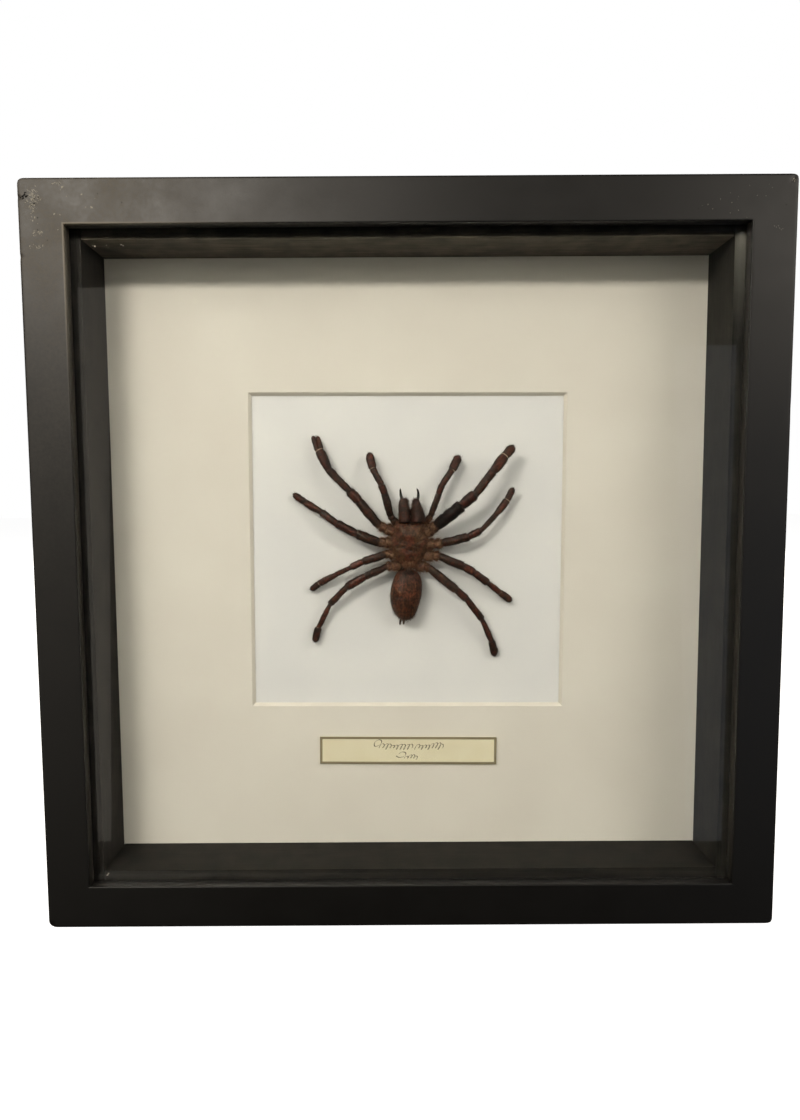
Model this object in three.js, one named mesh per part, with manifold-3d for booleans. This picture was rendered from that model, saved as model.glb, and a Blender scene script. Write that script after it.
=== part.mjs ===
// Framed tarantula specimen.
//
// A square black shadow-box frame stands upright on its bottom rail. Behind its front lip
// lie, one after another, a pane of glass, four deep spacer strips, a mat board with a
// bevel-cut window and a label, a white board that carries the dried spider, and the back
// board, which flat steel points hold in. A sawtooth hanger is riveted on the back board.
//
// Units are millimetres and +Z is up. The glazed front faces -Y, and +X is to the viewer's
// right. The origin is at the middle of the bottom of the whole object.

import * as THREE from 'three';
import { mergeVertices } from 'three/addons/utils/BufferGeometryUtils.js';
import Module from 'manifold-3d';

const wasm = await Module();
wasm.setup();

// ---- Driving dimensions ----

const FRAME_SIZE = 300; // outer width and height
const RAIL_DEPTH = 45; // front face to back edge
const FACE_WIDTH = 17.5; // front face of a rail
const WALL_WIDTH = 12.7; // rail behind the rebate
const LIP_DEPTH = 5.5; // front lip, in front of the glass
const EDGE_RADIUS = 1.2; // eased front edges
const GAP = 0.3; // clearance between two pieces that touch

const GLASS_THICKNESS = 2;
const SPACER_WIDTH = 8;
const SPACER_DEPTH = 25.8;
const MAT_THICKNESS = 1.5;
const SPECIMEN_BOARD_THICKNESS = 2;
const BACK_BOARD_THICKNESS = 3;

const WINDOW_SIZE = 138.5; // window in the mat, measured on its face
const WINDOW_RISE = 3; // window's centre above the frame's centre
const WINDOW_TILT = 0.3; // degrees clockwise, as it was cut by hand
const WINDOW_BEVEL = 1.3; // how far the cut edge slopes in

const LABEL = { width: 79.2, height: 12.5, thickness: 0.4, drop: 86.4, tilt: 0.5 };

// A steel point: its straight part, its narrow end, and its distance from the rail's middle.
const POINT = { width: 9, length: 13, straight: 7, tip: 2.2, thickness: 0.5, offset: 75 };
const HANGER = { length: 45, height: 8, thickness: 0.8, rise: 1.3, foot: 9, slope: 3, inset: 14 };
const TOOTH = { pitch: 2, depth: 1.6, width: 1.4, aside: 4 }; // aside: notches on each side
const RIVET = { head: 1.7, crown: 1.36, headThickness: 0.8, shank: 0.6, length: 3.4 };

// ---- Places that follow from them ----

const HALF = FRAME_SIZE / 2;
const LAYER_HALF = HALF - WALL_WIDTH - GAP; // what lies in the rebate reaches this far out

const GLASS_START = LIP_DEPTH + GAP;
const SPACER_START = GLASS_START + GLASS_THICKNESS + GAP;
const MAT_START = SPACER_START + SPACER_DEPTH + GAP;
const SPECIMEN_BOARD_START = MAT_START + MAT_THICKNESS + GAP;
const BACK_BOARD_START = SPECIMEN_BOARD_START + SPECIMEN_BOARD_THICKNESS + GAP;
const BACK_BEHIND = BACK_BOARD_START + BACK_BOARD_THICKNESS + GAP; // fittings start here
const HANGER_HEIGHT = LAYER_HALF - HANGER.inset;
const RIVET_PLACES = [-1, 1].map((side) => side * (HANGER.length - HANGER.foot) / 2);

// ---- Solids ----

const WELD = 1e-4;
const ROUND = 8; // sides of a limb segment
const BODY_ROUND = 16; // sides of the two body regions

/** The closed solid of a geometry, with shared corners merged and empty triangles left out. */
function solidOf(geometry) {
  const bare = geometry.clone();
  bare.deleteAttribute('normal');
  bare.deleteAttribute('uv');
  const merged = mergeVertices(bare, WELD);
  const corners = merged.index.array;
  const triVerts = [];
  for (let i = 0; i < corners.length; i += 3) {
    const [a, b, c] = corners.slice(i, i + 3);
    if (a !== b && b !== c && c !== a) triVerts.push(a, b, c);
  }
  const mesh = new wasm.Mesh({
    numProp: 3,
    vertProperties: new Float32Array(merged.attributes.position.array),
    triVerts: new Uint32Array(triVerts),
  });
  return new wasm.Manifold(mesh);
}

/** The geometry of a solid that was joined or cut. */
function geometryOf(solid) {
  const { vertProperties, triVerts } = solid.getMesh();
  const geometry = new THREE.BufferGeometry();
  geometry.setAttribute('position', new THREE.BufferAttribute(vertProperties, 3));
  geometry.setIndex(new THREE.BufferAttribute(triVerts, 1));
  return geometry;
}

function cut(geometry, ...tools) {
  return geometryOf(tools.reduce((rest, tool) => rest.subtract(solidOf(tool)), solidOf(geometry)));
}

function join(...geometries) {
  return geometryOf(geometries.map(solidOf).reduce((whole, next) => whole.add(next)));
}

/** A box by its middle in X and Z, its first depth in Y and its three sizes. */
function slab(width, thickness, height, start, x = 0, z = 0) {
  return new THREE.BoxGeometry(width, thickness, height).translate(x, start + thickness / 2, z);
}

function piece(name, geometry, color, roughness, metalness = 0) {
  const mesh = new THREE.Mesh(
    geometry, new THREE.MeshStandardMaterial({ color, roughness, metalness }));
  mesh.name = name;
  return mesh;
}

// ---- Frame: everything below is centred on the frame, with depth from its front face ----

/** One rail's section: the face with its two eased edges, the lip, and the wall behind it. */
function railSection() {
  const section = new THREE.Shape();
  section.moveTo(0, RAIL_DEPTH);
  section.lineTo(0, EDGE_RADIUS);
  section.absarc(EDGE_RADIUS, EDGE_RADIUS, EDGE_RADIUS, Math.PI, 1.5 * Math.PI, false);
  section.lineTo(FACE_WIDTH - EDGE_RADIUS, 0);
  section.absarc(FACE_WIDTH - EDGE_RADIUS, EDGE_RADIUS, EDGE_RADIUS, 1.5 * Math.PI, 2 * Math.PI, false);
  section.lineTo(FACE_WIDTH, LIP_DEPTH);
  section.lineTo(WALL_WIDTH, LIP_DEPTH);
  section.lineTo(WALL_WIDTH, RAIL_DEPTH);
  return section;
}

/** The bottom rail, mitred at both ends, turned about the frame's middle to its own side. */
function rail(turn) {
  const geometry = new THREE.ExtrudeGeometry(
    railSection(), { depth: 1, bevelEnabled: false, curveSegments: 3 });
  const corners = geometry.attributes.position;
  const mitreClearance = GAP * Math.SQRT1_2;
  for (let i = 0; i < corners.count; i += 1) {
    const inward = corners.getX(i);
    const end = 1 - 2 * corners.getZ(i);
    corners.setXYZ(i, end * (HALF - inward - mitreClearance), corners.getY(i), inward - HALF);
  }
  return geometry.rotateY(turn);
}

// Turns of the bottom rail, and of what lies along it, that bring it to each side.
const SIDES = { bottom: 0, left: Math.PI / 2, top: Math.PI, right: -Math.PI / 2 };

function buildFrame() {
  return Object.entries(SIDES).map(([side, turn]) => piece(
    `frame_rail_${side}`, rail(turn), 0x1c1b19, 0.42));
}

function buildGlass() {
  const pane = slab(2 * LAYER_HALF, GLASS_THICKNESS, 2 * LAYER_HALF, GLASS_START);
  return piece('glass_pane', pane, 0xf4f8f6, 0.02);
}

/** The side strips run the full height, and the top and bottom strips fit between them. */
function buildSpacers() {
  const middle = LAYER_HALF - SPACER_WIDTH / 2;
  const long = 2 * LAYER_HALF;
  const short = long - 2 * (SPACER_WIDTH + GAP);
  const strip = (name, width, height, x, z) => piece(
    name, slab(width, SPACER_DEPTH, height, SPACER_START, x, z), 0x2a2825, 0.7);
  return [
    strip('spacer_left', SPACER_WIDTH, long, -middle, 0),
    strip('spacer_right', SPACER_WIDTH, long, middle, 0),
    strip('spacer_top', short, SPACER_WIDTH, 0, middle),
    strip('spacer_bottom', short, SPACER_WIDTH, 0, -middle),
  ];
}

/** A round tool that leaves clearance around a rivet's shank. */
function rivetHole(x) {
  const radius = RIVET.shank + GAP;
  return new THREE.CylinderGeometry(radius, radius, 2 * RIVET.length, ROUND)
    .translate(x, BACK_BEHIND, HANGER_HEIGHT);
}

/** A four-sided taper whose faces are the window's sloping cut edges. */
function windowTool() {
  const slope = WINDOW_BEVEL / MAT_THICKNESS;
  const over = 1;
  const front = (WINDOW_SIZE / 2 + slope * over) * Math.SQRT2;
  const back = (WINDOW_SIZE / 2 - slope * (MAT_THICKNESS + over)) * Math.SQRT2;
  return new THREE.CylinderGeometry(back, front, MAT_THICKNESS + 2 * over, 4)
    .rotateY(Math.PI / 4 + THREE.MathUtils.degToRad(WINDOW_TILT))
    .translate(0, MAT_START + MAT_THICKNESS / 2, WINDOW_RISE);
}

function buildBoards() {
  const side = 2 * LAYER_HALF;
  const mat = cut(slab(side, MAT_THICKNESS, side, MAT_START), windowTool());
  const back = slab(side, BACK_BOARD_THICKNESS, side, BACK_BOARD_START);
  const label = new THREE.BoxGeometry(LABEL.width, LABEL.thickness, LABEL.height)
    .rotateY(THREE.MathUtils.degToRad(LABEL.tilt))
    .translate(0, MAT_START - GAP - LABEL.thickness / 2, -LABEL.drop);
  return [
    piece('mat_board', mat, 0xd9cfb7, 0.9),
    piece('label_card', label, 0xd3c8a4, 0.8),
    piece('specimen_board', slab(side, SPECIMEN_BOARD_THICKNESS, side, SPECIMEN_BOARD_START),
      0xdedcd2, 0.85),
    piece('back_board', cut(back, ...RIVET_PLACES.map(rivetHole)), 0x8a6a48, 0.8),
  ];
}

/** A flat steel point, straight at the rail and tapered over the back board. */
function backPoint(offset) {
  const side = POINT.width / 2;
  const tip = POINT.tip / 2;
  const outline = new THREE.Shape([
    [-side, 0], [side, 0], [side, POINT.straight], [tip, POINT.length],
    [-tip, POINT.length], [-side, POINT.straight],
  ].map(([x, y]) => new THREE.Vector2(x, y)));
  return new THREE.ExtrudeGeometry(outline, { depth: POINT.thickness, bevelEnabled: false })
    .rotateX(Math.PI / 2)
    .translate(offset, BACK_BEHIND + POINT.thickness, -LAYER_HALF);
}

function buildPoints() {
  return Object.entries(SIDES).flatMap(([side, turn]) => [-1, 1].map((end, number) => piece(
    `back_point_${side}_${number + 1}`, backPoint(end * POINT.offset).rotateY(turn),
    0x8f9190, 0.4, 1)));
}

/** The sawtooth strip: two flat feet, a raised middle, and notches along its lower edge. */
function hangerStrip() {
  const end = HANGER.length / 2;
  const foot = end - HANGER.foot;
  const raised = foot - HANGER.slope;
  const { thickness, rise, height } = HANGER;
  const plan = new THREE.Shape([
    [-end, 0], [-foot, 0], [-raised, rise], [raised, rise], [foot, 0], [end, 0],
    [end, thickness], [foot + GAP, thickness], [raised + GAP, rise + thickness],
    [-raised - GAP, rise + thickness], [-foot - GAP, thickness], [-end, thickness],
  ].map(([x, y]) => new THREE.Vector2(x, y)));
  const strip = new THREE.ExtrudeGeometry(plan, { depth: height, bevelEnabled: false })
    .translate(0, BACK_BEHIND, HANGER_HEIGHT - height / 2);
  const notches = [];
  for (let n = -TOOTH.aside; n <= TOOTH.aside; n += 1) {
    const side = TOOTH.depth * Math.sqrt(3);
    notches.push(new THREE.CylinderGeometry(TOOTH.depth, TOOTH.depth, 4 * thickness, 3)
      .scale(TOOTH.width / side, 1, 1)
      .translate(n * TOOTH.pitch, BACK_BEHIND + rise, HANGER_HEIGHT - height / 2));
  }
  return cut(strip, ...notches, ...RIVET_PLACES.map(rivetHole));
}

/** A low-headed rivet, its head on the hanger's foot and its shank in the back board. */
function rivet(x) {
  const { head, crown, headThickness, shank, length } = RIVET;
  const profile = [
    [0, -length], [shank, -length], [shank, 0], [head, 0], [crown, headThickness], [0, headThickness],
  ].map(([radius, along]) => new THREE.Vector2(radius, along));
  return new THREE.LatheGeometry(profile, ROUND)
    .translate(x, BACK_BEHIND + HANGER.thickness + GAP, HANGER_HEIGHT);
}

function buildHanger() {
  return [
    piece('hanger', hangerStrip(), 0xb49a5a, 0.35, 1),
    piece('hanger_rivet_left', rivet(RIVET_PLACES[0]), 0xb49a5a, 0.35, 1),
    piece('hanger_rivet_right', rivet(RIVET_PLACES[1]), 0xb49a5a, 0.35, 1),
  ];
}

// ---- Tarantula: X and Z from the frame's middle, and height towards the viewer from the
// ---- white board, which is -Y

// A body region: its middle, half thickness and tilt in degrees, and its outline as places
// along the body, from its back end, each with the half width there.
const CARAPACE = {
  x: 0.8, z: 6.3, height: 6.6, halfThickness: 5, tilt: 0,
  outline: [
    [-10, 0], [-9.2, 3.6], [-6.6, 5.9], [-3, 7.5], [0.5, 8.2], [4.5, 7.5], [8, 6.1], [9.8, 5.4],
    [10.4, 0],
  ],
};
const ABDOMEN = {
  x: -0.6, z: -15.6, height: 6.4, halfThickness: 5.7, tilt: 2,
  outline: [
    [-11.2, 0], [-10.4, 3], [-8, 4.9], [-4, 6.4], [0.5, 6.9], [5, 6.2], [8.6, 4.4], [10.4, 2.4],
    [11.2, 0],
  ],
};

/** A flattened body of revolution along Z, grown outwards where it clears a neighbour. */
function bodyRegion({ x, z, height, halfThickness, tilt, outline }, grow = 0) {
  const profile = outline.map(([along, half]) => new THREE.Vector2(
    half === 0 ? 0 : half + grow, along + Math.sign(along) * grow));
  const widest = Math.max(...profile.map((point) => point.x));
  return new THREE.LatheGeometry(profile, BODY_ROUND)
    .rotateX(Math.PI / 2)
    .scale(1, (halfThickness + grow) / widest, 1)
    .rotateY(THREE.MathUtils.degToRad(tilt))
    .translate(x, -height, z);
}

// A limb segment's fullness: shares of its length, each with the share of its radius there.
const FULLNESS = [
  [-0.08, 0], [-0.05, 0.6], [0.12, 0.88], [0.45, 1], [0.88, 0.88], [1.03, 0.6], [1.06, 0],
];

/** One limb segment between two joints: a rod that is fullest in its middle. */
function segment(from, to, radius) {
  const length = from.distanceTo(to);
  const profile = FULLNESS.map(([share, full]) => new THREE.Vector2(full * radius, share * length));
  const direction = to.clone().sub(from).normalize();
  const turn = new THREE.Quaternion().setFromUnitVectors(new THREE.Vector3(0, 1, 0), direction);
  return new THREE.LatheGeometry(profile, ROUND)
    .applyQuaternion(turn)
    .translate(from.x, from.y, from.z);
}

/** The joints of a limb, walked from its hip by length and bearing, each at its own height. */
function joints({ hip, lengths, bearings, heights }) {
  const points = [new THREE.Vector3(hip[0], -heights[0], hip[1])];
  lengths.forEach((length, i) => {
    const bearing = THREE.MathUtils.degToRad(bearings[i]);
    const last = points[i];
    points.push(new THREE.Vector3(
      last.x + length * Math.cos(bearing), -heights[i + 1], last.z + length * Math.sin(bearing)));
  });
  return points;
}

function limb(spec) {
  const points = joints(spec);
  return join(...spec.radii.map((radius, i) => segment(points[i], points[i + 1], radius)));
}

// Bearings are degrees from +X towards +Z. Lengths are seen from the front. A leg's segments
// are hip, femur, patella, tibia, metatarsus and tarsus, and a pedipalp has no metatarsus.
const LIMBS = {
  pedipalp_left: {
    hip: [-5.3, 16.2], lengths: [3.5, 9.5, 4.5, 8, 7], bearings: [127, 104, 110, 118, 103],
    heights: [4.5, 5.5, 7, 7, 5.5, 3.5], radii: [1.4, 1.9, 1.8, 1.6, 1.9],
  },
  pedipalp_right: {
    hip: [7.6, 15.8], lengths: [3.5, 10.5, 4, 8, 7], bearings: [49, 70, 71, 55, 63],
    heights: [4.5, 5.5, 7, 7, 5.5, 3.5], radii: [1.4, 1.6, 1.6, 1.6, 2.1],
  },
  leg_1_left: {
    hip: [-6.7, 12.4], lengths: [6, 13.5, 6.5, 12.5, 9.5, 6.5], bearings: [158, 129, 133, 134, 116, 107],
    heights: [5.5, 6, 7.5, 7.5, 6, 4, 3], radii: [1.9, 2.2, 2.3, 1.9, 2.2, 2],
  },
  leg_2_left: {
    hip: [-7.1, 7.3], lengths: [5.5, 10, 10, 8, 8.5, 6.5], bearings: [177, 159, 152, 144, 149, 146],
    heights: [5.5, 6, 7.5, 7, 5, 3.2, 2.2], radii: [1.9, 2.3, 2.1, 1.9, 1.8, 1.7],
  },
  leg_3_left: {
    hip: [-6.7, 2.3], lengths: [3, 10, 6, 7.5, 8.5, 5], bearings: [181, 197, 206, 206, 209, 216],
    heights: [5.5, 6, 6.5, 6, 4.5, 3, 2.2], radii: [1.8, 2, 1.7, 1.4, 1.6, 1.5],
  },
  leg_4_left: {
    hip: [-5.4, -2.8], lengths: [3.5, 10.5, 9.5, 10.5, 12, 7], bearings: [183, 204, 210, 226, 243, 254],
    heights: [5.5, 6, 7, 6.5, 4.5, 3, 2.2], radii: [1.8, 1.9, 2.1, 1.8, 1.4, 1.7],
  },
  leg_1_right: {
    hip: [8.3, 12], lengths: [5, 13.5, 7.5, 12, 8.5, 6], bearings: [33, 40, 39, 52, 51, 48],
    heights: [5.5, 8, 12.5, 13.5, 12.5, 10.5, 9], radii: [1.9, 3, 2.3, 2, 2.3, 2],
  },
  leg_2_right: {
    hip: [9.1, 6.6], lengths: [5.5, 12, 6, 9, 8.5, 6], bearings: [3, 14, 26, 46, 51, 63],
    heights: [5.5, 6, 7.5, 7.5, 6.5, 5.5, 5], radii: [1.9, 2.1, 1.8, 1.4, 1.7, 1.6],
  },
  leg_3_right: {
    hip: [9.1, 1.6], lengths: [4.5, 11.5, 5.5, 7.5, 7.5, 6.5], bearings: [-3, -23, -31, -37, -39, -37],
    heights: [5.5, 6, 7, 6.5, 5, 3.2, 2.2], radii: [1.9, 2, 1.9, 1.8, 1.5, 1.6],
  },
  leg_4_right: {
    hip: [6.4, -3.2], lengths: [3, 15, 6, 11.5, 11.5, 7], bearings: [-13, -39, -41, -53, -66, -76],
    heights: [5.5, 6, 7.5, 7, 5, 3, 2.2], radii: [1.8, 2, 1.8, 1.7, 1.5, 1.8],
  },
};

// Jaws and the fangs at their tips, each as one limb of a few segments.
const JAWS = {
  chelicera_left: {
    hip: [-1.5, 17.6], lengths: [8.6], bearings: [93], heights: [8.2, 6.6], radii: [2.3],
  },
  chelicera_right: {
    hip: [4.2, 17.6], lengths: [8.6], bearings: [91], heights: [8.2, 6.6], radii: [2.6],
  },
};
const FANGS = {
  fang_left: {
    hip: [-2.3, 27.3], lengths: [1.8, 2], bearings: [97, 108], heights: [5.6, 5.2, 4.4], radii: [0.6, 0.4],
  },
  fang_right: {
    hip: [4.5, 27.3], lengths: [1.8, 2], bearings: [88, 100], heights: [5.6, 5.2, 4.4], radii: [0.6, 0.4],
  },
};
const SPINNERETS = {
  spinneret_left: {
    hip: [-3.1, -27.2], lengths: [2.2], bearings: [262], heights: [5, 4], radii: [0.5],
  },
  spinneret_right: {
    hip: [-1.7, -27.4], lengths: [1.7], bearings: [262], heights: [5, 4], radii: [0.5],
  },
};

function buildTarantula() {
  const aroundCarapace = bodyRegion(CARAPACE, GAP);
  const aroundAbdomen = bodyRegion(ABDOMEN, GAP);
  const named = (specs, make) => Object.entries(specs).map(([name, spec]) => make(name, spec));
  return [
    piece('carapace', bodyRegion(CARAPACE), 0x5a3a28, 0.75),
    piece('abdomen', bodyRegion(ABDOMEN), 0x4a2c1c, 0.75),
    ...named(LIMBS, (name, spec) => piece(
      name, cut(limb(spec), aroundCarapace, aroundAbdomen), 0x3c2a22, 0.8)),
    ...named(JAWS, (name, spec) => piece(name, limb(spec), 0x3a2b26, 0.7)),
    ...named(FANGS, (name, spec) => piece(name, limb(spec), 0x120f0d, 0.25)),
    ...named(SPINNERETS, (name, spec) => piece(name, limb(spec), 0x33221a, 0.8)),
  ];
}

// ---- The whole object ----

const frame = new THREE.Group();
frame.position.set(0, -RAIL_DEPTH / 2, HALF);
frame.add(...buildFrame(), buildGlass(), ...buildSpacers(), ...buildBoards());
frame.add(...buildPoints(), ...buildHanger());

const tarantula = new THREE.Group();
tarantula.position.set(0, SPECIMEN_BOARD_START, 0);
tarantula.add(...buildTarantula());
frame.add(tarantula);

const framedTarantula = new THREE.Group();
framedTarantula.add(frame);

export default framedTarantula;
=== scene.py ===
# %% [markdown]
# # A framed tarantula specimen
#
# This notebook builds the looks of a glazed shadow box: a black painted frame, a pane of
# glass, black spacer strips, a cream mat with a bevel-cut window and a small label, a white
# board, and a dried tarantula spread on it. The measured solids come in first, as a fixed
# frame. Plain pieces keep their solid and get a finish. The painted rails, the label and
# the whole animal are built anew in the same places.
#
# Sizes in the cells are in millimetres, because that is how a framer and a collector
# measure, and one factor turns them into Blender's metres.

import bpy
import math
import numpy as np
from mathutils import Matrix, Vector, noise


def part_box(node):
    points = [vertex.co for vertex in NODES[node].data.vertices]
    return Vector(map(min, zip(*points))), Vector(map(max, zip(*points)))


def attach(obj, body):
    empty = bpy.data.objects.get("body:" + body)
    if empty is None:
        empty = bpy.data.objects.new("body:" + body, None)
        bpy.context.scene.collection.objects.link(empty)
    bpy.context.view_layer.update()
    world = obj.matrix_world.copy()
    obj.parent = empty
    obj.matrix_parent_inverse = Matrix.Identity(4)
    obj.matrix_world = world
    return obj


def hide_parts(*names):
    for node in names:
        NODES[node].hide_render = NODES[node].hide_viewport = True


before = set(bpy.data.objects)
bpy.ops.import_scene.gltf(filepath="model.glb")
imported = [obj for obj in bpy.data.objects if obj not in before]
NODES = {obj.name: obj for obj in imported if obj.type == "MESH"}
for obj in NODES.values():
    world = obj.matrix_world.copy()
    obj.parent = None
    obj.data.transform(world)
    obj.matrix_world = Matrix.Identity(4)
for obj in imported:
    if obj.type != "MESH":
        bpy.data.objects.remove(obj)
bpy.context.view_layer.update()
MM = 0.001
HALF = 150.0  # half of the outer height and width, and the height of the frame's middle

# %% [markdown]
# ## Depths, read from the solids
#
# A shadow box is a stack of layers, so most places follow from a few depths. They are read
# from the solids, not typed in, so the new pieces stay where the solids are. Depth runs
# along +Y, from the glazed front to the back.


# %% Read the depths of the layers
def depth(node, face):
    """How deep a solid's front (0) or back (1) face lies, in millimetres."""
    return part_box(node)[face].y / MM


FRONT = depth("frame_rail_top", 0)
BACK = depth("frame_rail_top", 1)
GLASS_FACE = depth("glass_pane", 0)
MAT_FACE = depth("mat_board", 0)
BOARD_FACE = depth("specimen_board", 0)
LABEL_FACE = depth("label_card", 0)
print("front", FRONT, "glass", GLASS_FACE, "mat", MAT_FACE, "white board", BOARD_FACE)

# %% [markdown]
# ## Camera
#
# The box is seen from the front at arm's length and a little from above, through a short
# lens that makes the near face larger than the mat behind it. That difference is what shows
# how deep the box is, so the camera stands at a measured distance, not just far enough away.

# %% Place the camera
CAMERA_PLACE = Vector((-7.7, FRONT - 313.4, HALF + 28.6)) * MM
LOOK_DOWN = math.radians(4.81)
ROLL = math.radians(-0.326)
lens = bpy.data.cameras.new("camera")
lens.sensor_width = 36
lens.lens = 25.39
lens.shift_x = 0.0089
lens.clip_start = 0.01
camera = bpy.data.objects.new("camera", lens)
bpy.context.scene.collection.objects.link(camera)
camera.location = CAMERA_PLACE
camera.rotation_euler = (
    Matrix.Rotation(math.radians(90) - LOOK_DOWN, 3, "X") @ Matrix.Rotation(ROLL, 3, "Z")
).to_euler()
bpy.context.scene.camera = camera
print("camera at", [round(v, 4) for v in camera.location])

# %% [markdown]
# ## Tools for materials
#
# Every finish below is a small node tree round one Principled shader. One tool turns a given sRGB colour
# into the linear colour that a renderer adds up, one starts a material, and one adds a node with its
# settings and its links. The others name the few steps that nearly every finish takes: clouds of some
# size, a stretch of their range, a mix of two colours, and last the links to the shader.


# %% Define the material tools
def linear(code):
    """An sRGB hex colour as a linear one."""
    parts = [int(code[i : i + 2], 16) / 255 for i in (1, 3, 5)]
    return (*[c / 12.92 if c <= 0.04045 else ((c + 0.055) / 1.055) ** 2.4 for c in parts], 1.0)


def finish_named(name, **sockets):
    """A material with one Principled shader, whose sockets are set by name."""
    made = bpy.data.materials.new(name)
    made.use_nodes = True
    shader = made.node_tree.nodes["Principled BSDF"]
    for socket, value in sockets.items():
        shader.inputs[socket.replace("_", " ")].default_value = value
    return made, made.node_tree, shader


def add(tree, kind, sockets=None, **settings):
    """Adds a node. A socket's value is a number, a colour, or the output it is linked to."""
    made = tree.nodes.new("ShaderNode" + kind)
    for setting, value in settings.items():
        setattr(made, setting, value)
    for socket, value in (sockets or {}).items():
        if isinstance(value, bpy.types.NodeSocket):
            tree.links.new(value, made.inputs[socket])
        else:
            made.inputs[socket].default_value = value
    return made


def per_mm(size):
    """The texture scale that makes one cell of a noise about that many millimetres wide."""
    return 1 / (size * MM)


def clouds(tree, spot, size, detail, **more):
    """A noise whose cells are about that many millimetres wide, from 0 to 1."""
    sockets = {"Vector": spot, "Scale": per_mm(size), "Detail": detail, **more}
    return add(tree, "TexNoise", sockets).outputs["Fac"]


def ramp(tree, value, low, high, to_low=0.0, to_high=1.0):
    """A value's range stretched to another, and held at both ends."""
    sockets = {"Value": value, "From Min": low, "From Max": high, "To Min": to_low, "To Max": to_high}
    return add(tree, "MapRange", sockets).outputs[0]


def sums(tree, operation, *values, **settings):
    """One step of arithmetic."""
    return add(tree, "Math", dict(enumerate(values)), operation=operation, **settings).outputs[0]


def blend(tree, share, low, high, **settings):
    """A mix of two colours, each a hex code or another node's output."""
    low, high = (linear(end) if isinstance(end, str) else end for end in (low, high))
    return add(tree, "Mix", {0: share, 6: low, 7: high}, data_type="RGBA", **settings).outputs[2]


def carried(tree, name):
    """A number that the mesh carries at each corner."""
    return add(tree, "Attribute", attribute_name=name).outputs["Fac"]


def dress(tree, shader, colour, relief=None, strength=0.0, depth_mm=0.0, roughness=None):
    """Links a colour to the shader, and if given, a fine relief and a roughness."""
    tree.links.new(colour, shader.inputs["Base Color"])
    if roughness is not None:
        tree.links.new(roughness, shader.inputs["Roughness"])
    if relief is not None:
        bump = add(tree, "Bump", {"Strength": strength, "Distance": depth_mm * MM, "Height": relief})
        tree.links.new(bump.outputs[0], shader.inputs["Normal"])


def wear_to(nodes, finish):
    """Gives CAD nodes a finish."""
    for node in nodes:
        NODES[node].data.materials.clear()
        NODES[node].data.materials.append(finish)


print("white is", linear("#ffffff")[:3], "mid grey is", round(linear("#808080")[0], 3))

# %% [markdown]
# ## Floor and light
#
# A glazed box is lit from above and from the sides, never from beside the lens, because the
# pane would mirror the lamp. The key is a long, low strip high up on the left, much dimmer
# at its inner end. Its light comes in at a steep slant, so the top rail lays a dark band
# across the head of the mat, and its length makes the shadow of the left wall fade over some
# 30 mm. A second strip far to the right does the same, weaker, on the other side. Two broad
# dim panels are there only to be mirrored in the lacquer, and two lamps light the back.
#
# The floor and the background are plain and nearly white. The floor shows to the camera
# but doesn't light the box, as a real one would lighten the shadows that give it depth.


# %% Make the floor, the surroundings and the lights
WARM = "#fff6e8"
AWAY = 0.8  # metres from the box to the lamps
MIDDLE = HALF * MM  # the height of the frame's middle, in metres


def lamp(name, place, size, watts, colour, aim=(0, 0, MIDDLE)):
    """A rectangular soft light that faces the middle of the box."""
    made = bpy.data.lights.new(name, "AREA")
    made.shape = "RECTANGLE"
    made.size, made.size_y = size
    made.energy = watts
    made.color = linear(colour)[:3]
    holder = bpy.data.objects.new(name, made)
    bpy.context.scene.collection.objects.link(holder)
    holder.location = place
    holder.rotation_euler = (Vector(aim) - Vector(place)).to_track_quat("-Z", "Y").to_euler()
    holder.visible_camera = False
    holder.visible_transmission = False
    return holder


def strip(name, lateral, elevation, watts, colour=WARM):
    """A flat lamp between two slants to each side and two slants upwards."""
    x, z = sum(lateral) / 2 * AWAY, MIDDLE + sum(elevation) / 2 * AWAY
    size = ((lateral[1] - lateral[0]) * AWAY, (elevation[1] - elevation[0]) * AWAY)
    return lamp(name, (x, -AWAY, z), size, watts, colour, (x, 0, MIDDLE))


strip("key_strip", (-0.70, -0.35), (0.530, 0.637), 4.6)
strip("key_strip_end", (-0.35, 0.0), (0.530, 0.637), 0.7)
strip("right_strip", (0.70, 1.50), (0.530, 0.637), 4.2)
for sheen in (
    strip("left_glow", (-1.30, -0.50), (-0.57, 0.40), 0.8),
    strip("right_glow", (0.50, 1.30), (-0.57, 0.30), 0.42, "#e6eeff"),
):
    sheen.visible_diffuse = False  # only a sheen on the lacquer, as from a pale room
lamp("back_left", (-1.4, 1.5, 1.3), (1.2, 1.2), 30, WARM)
lamp("back_right", (1.4, 1.5, 1.1), (1.2, 1.2), 30, WARM)

world = bpy.data.worlds.new("studio")
bpy.context.scene.world = world
world.use_nodes = True
sky = world.node_tree
sky.nodes.clear()
seen = add(sky, "Background", {"Color": linear("#ffffff"), "Strength": 1.0})
dim = add(sky, "Background", {"Color": linear(WARM), "Strength": 0.01})
path = add(sky, "LightPath")
to_eye = path.outputs["Is Camera Ray"]
either = add(sky, "MixShader", {0: to_eye, 1: dim.outputs[0], 2: seen.outputs[0]})
add(sky, "OutputWorld", {"Surface": either.outputs[0]})
bpy.context.scene.view_settings.view_transform = "Standard"

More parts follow.
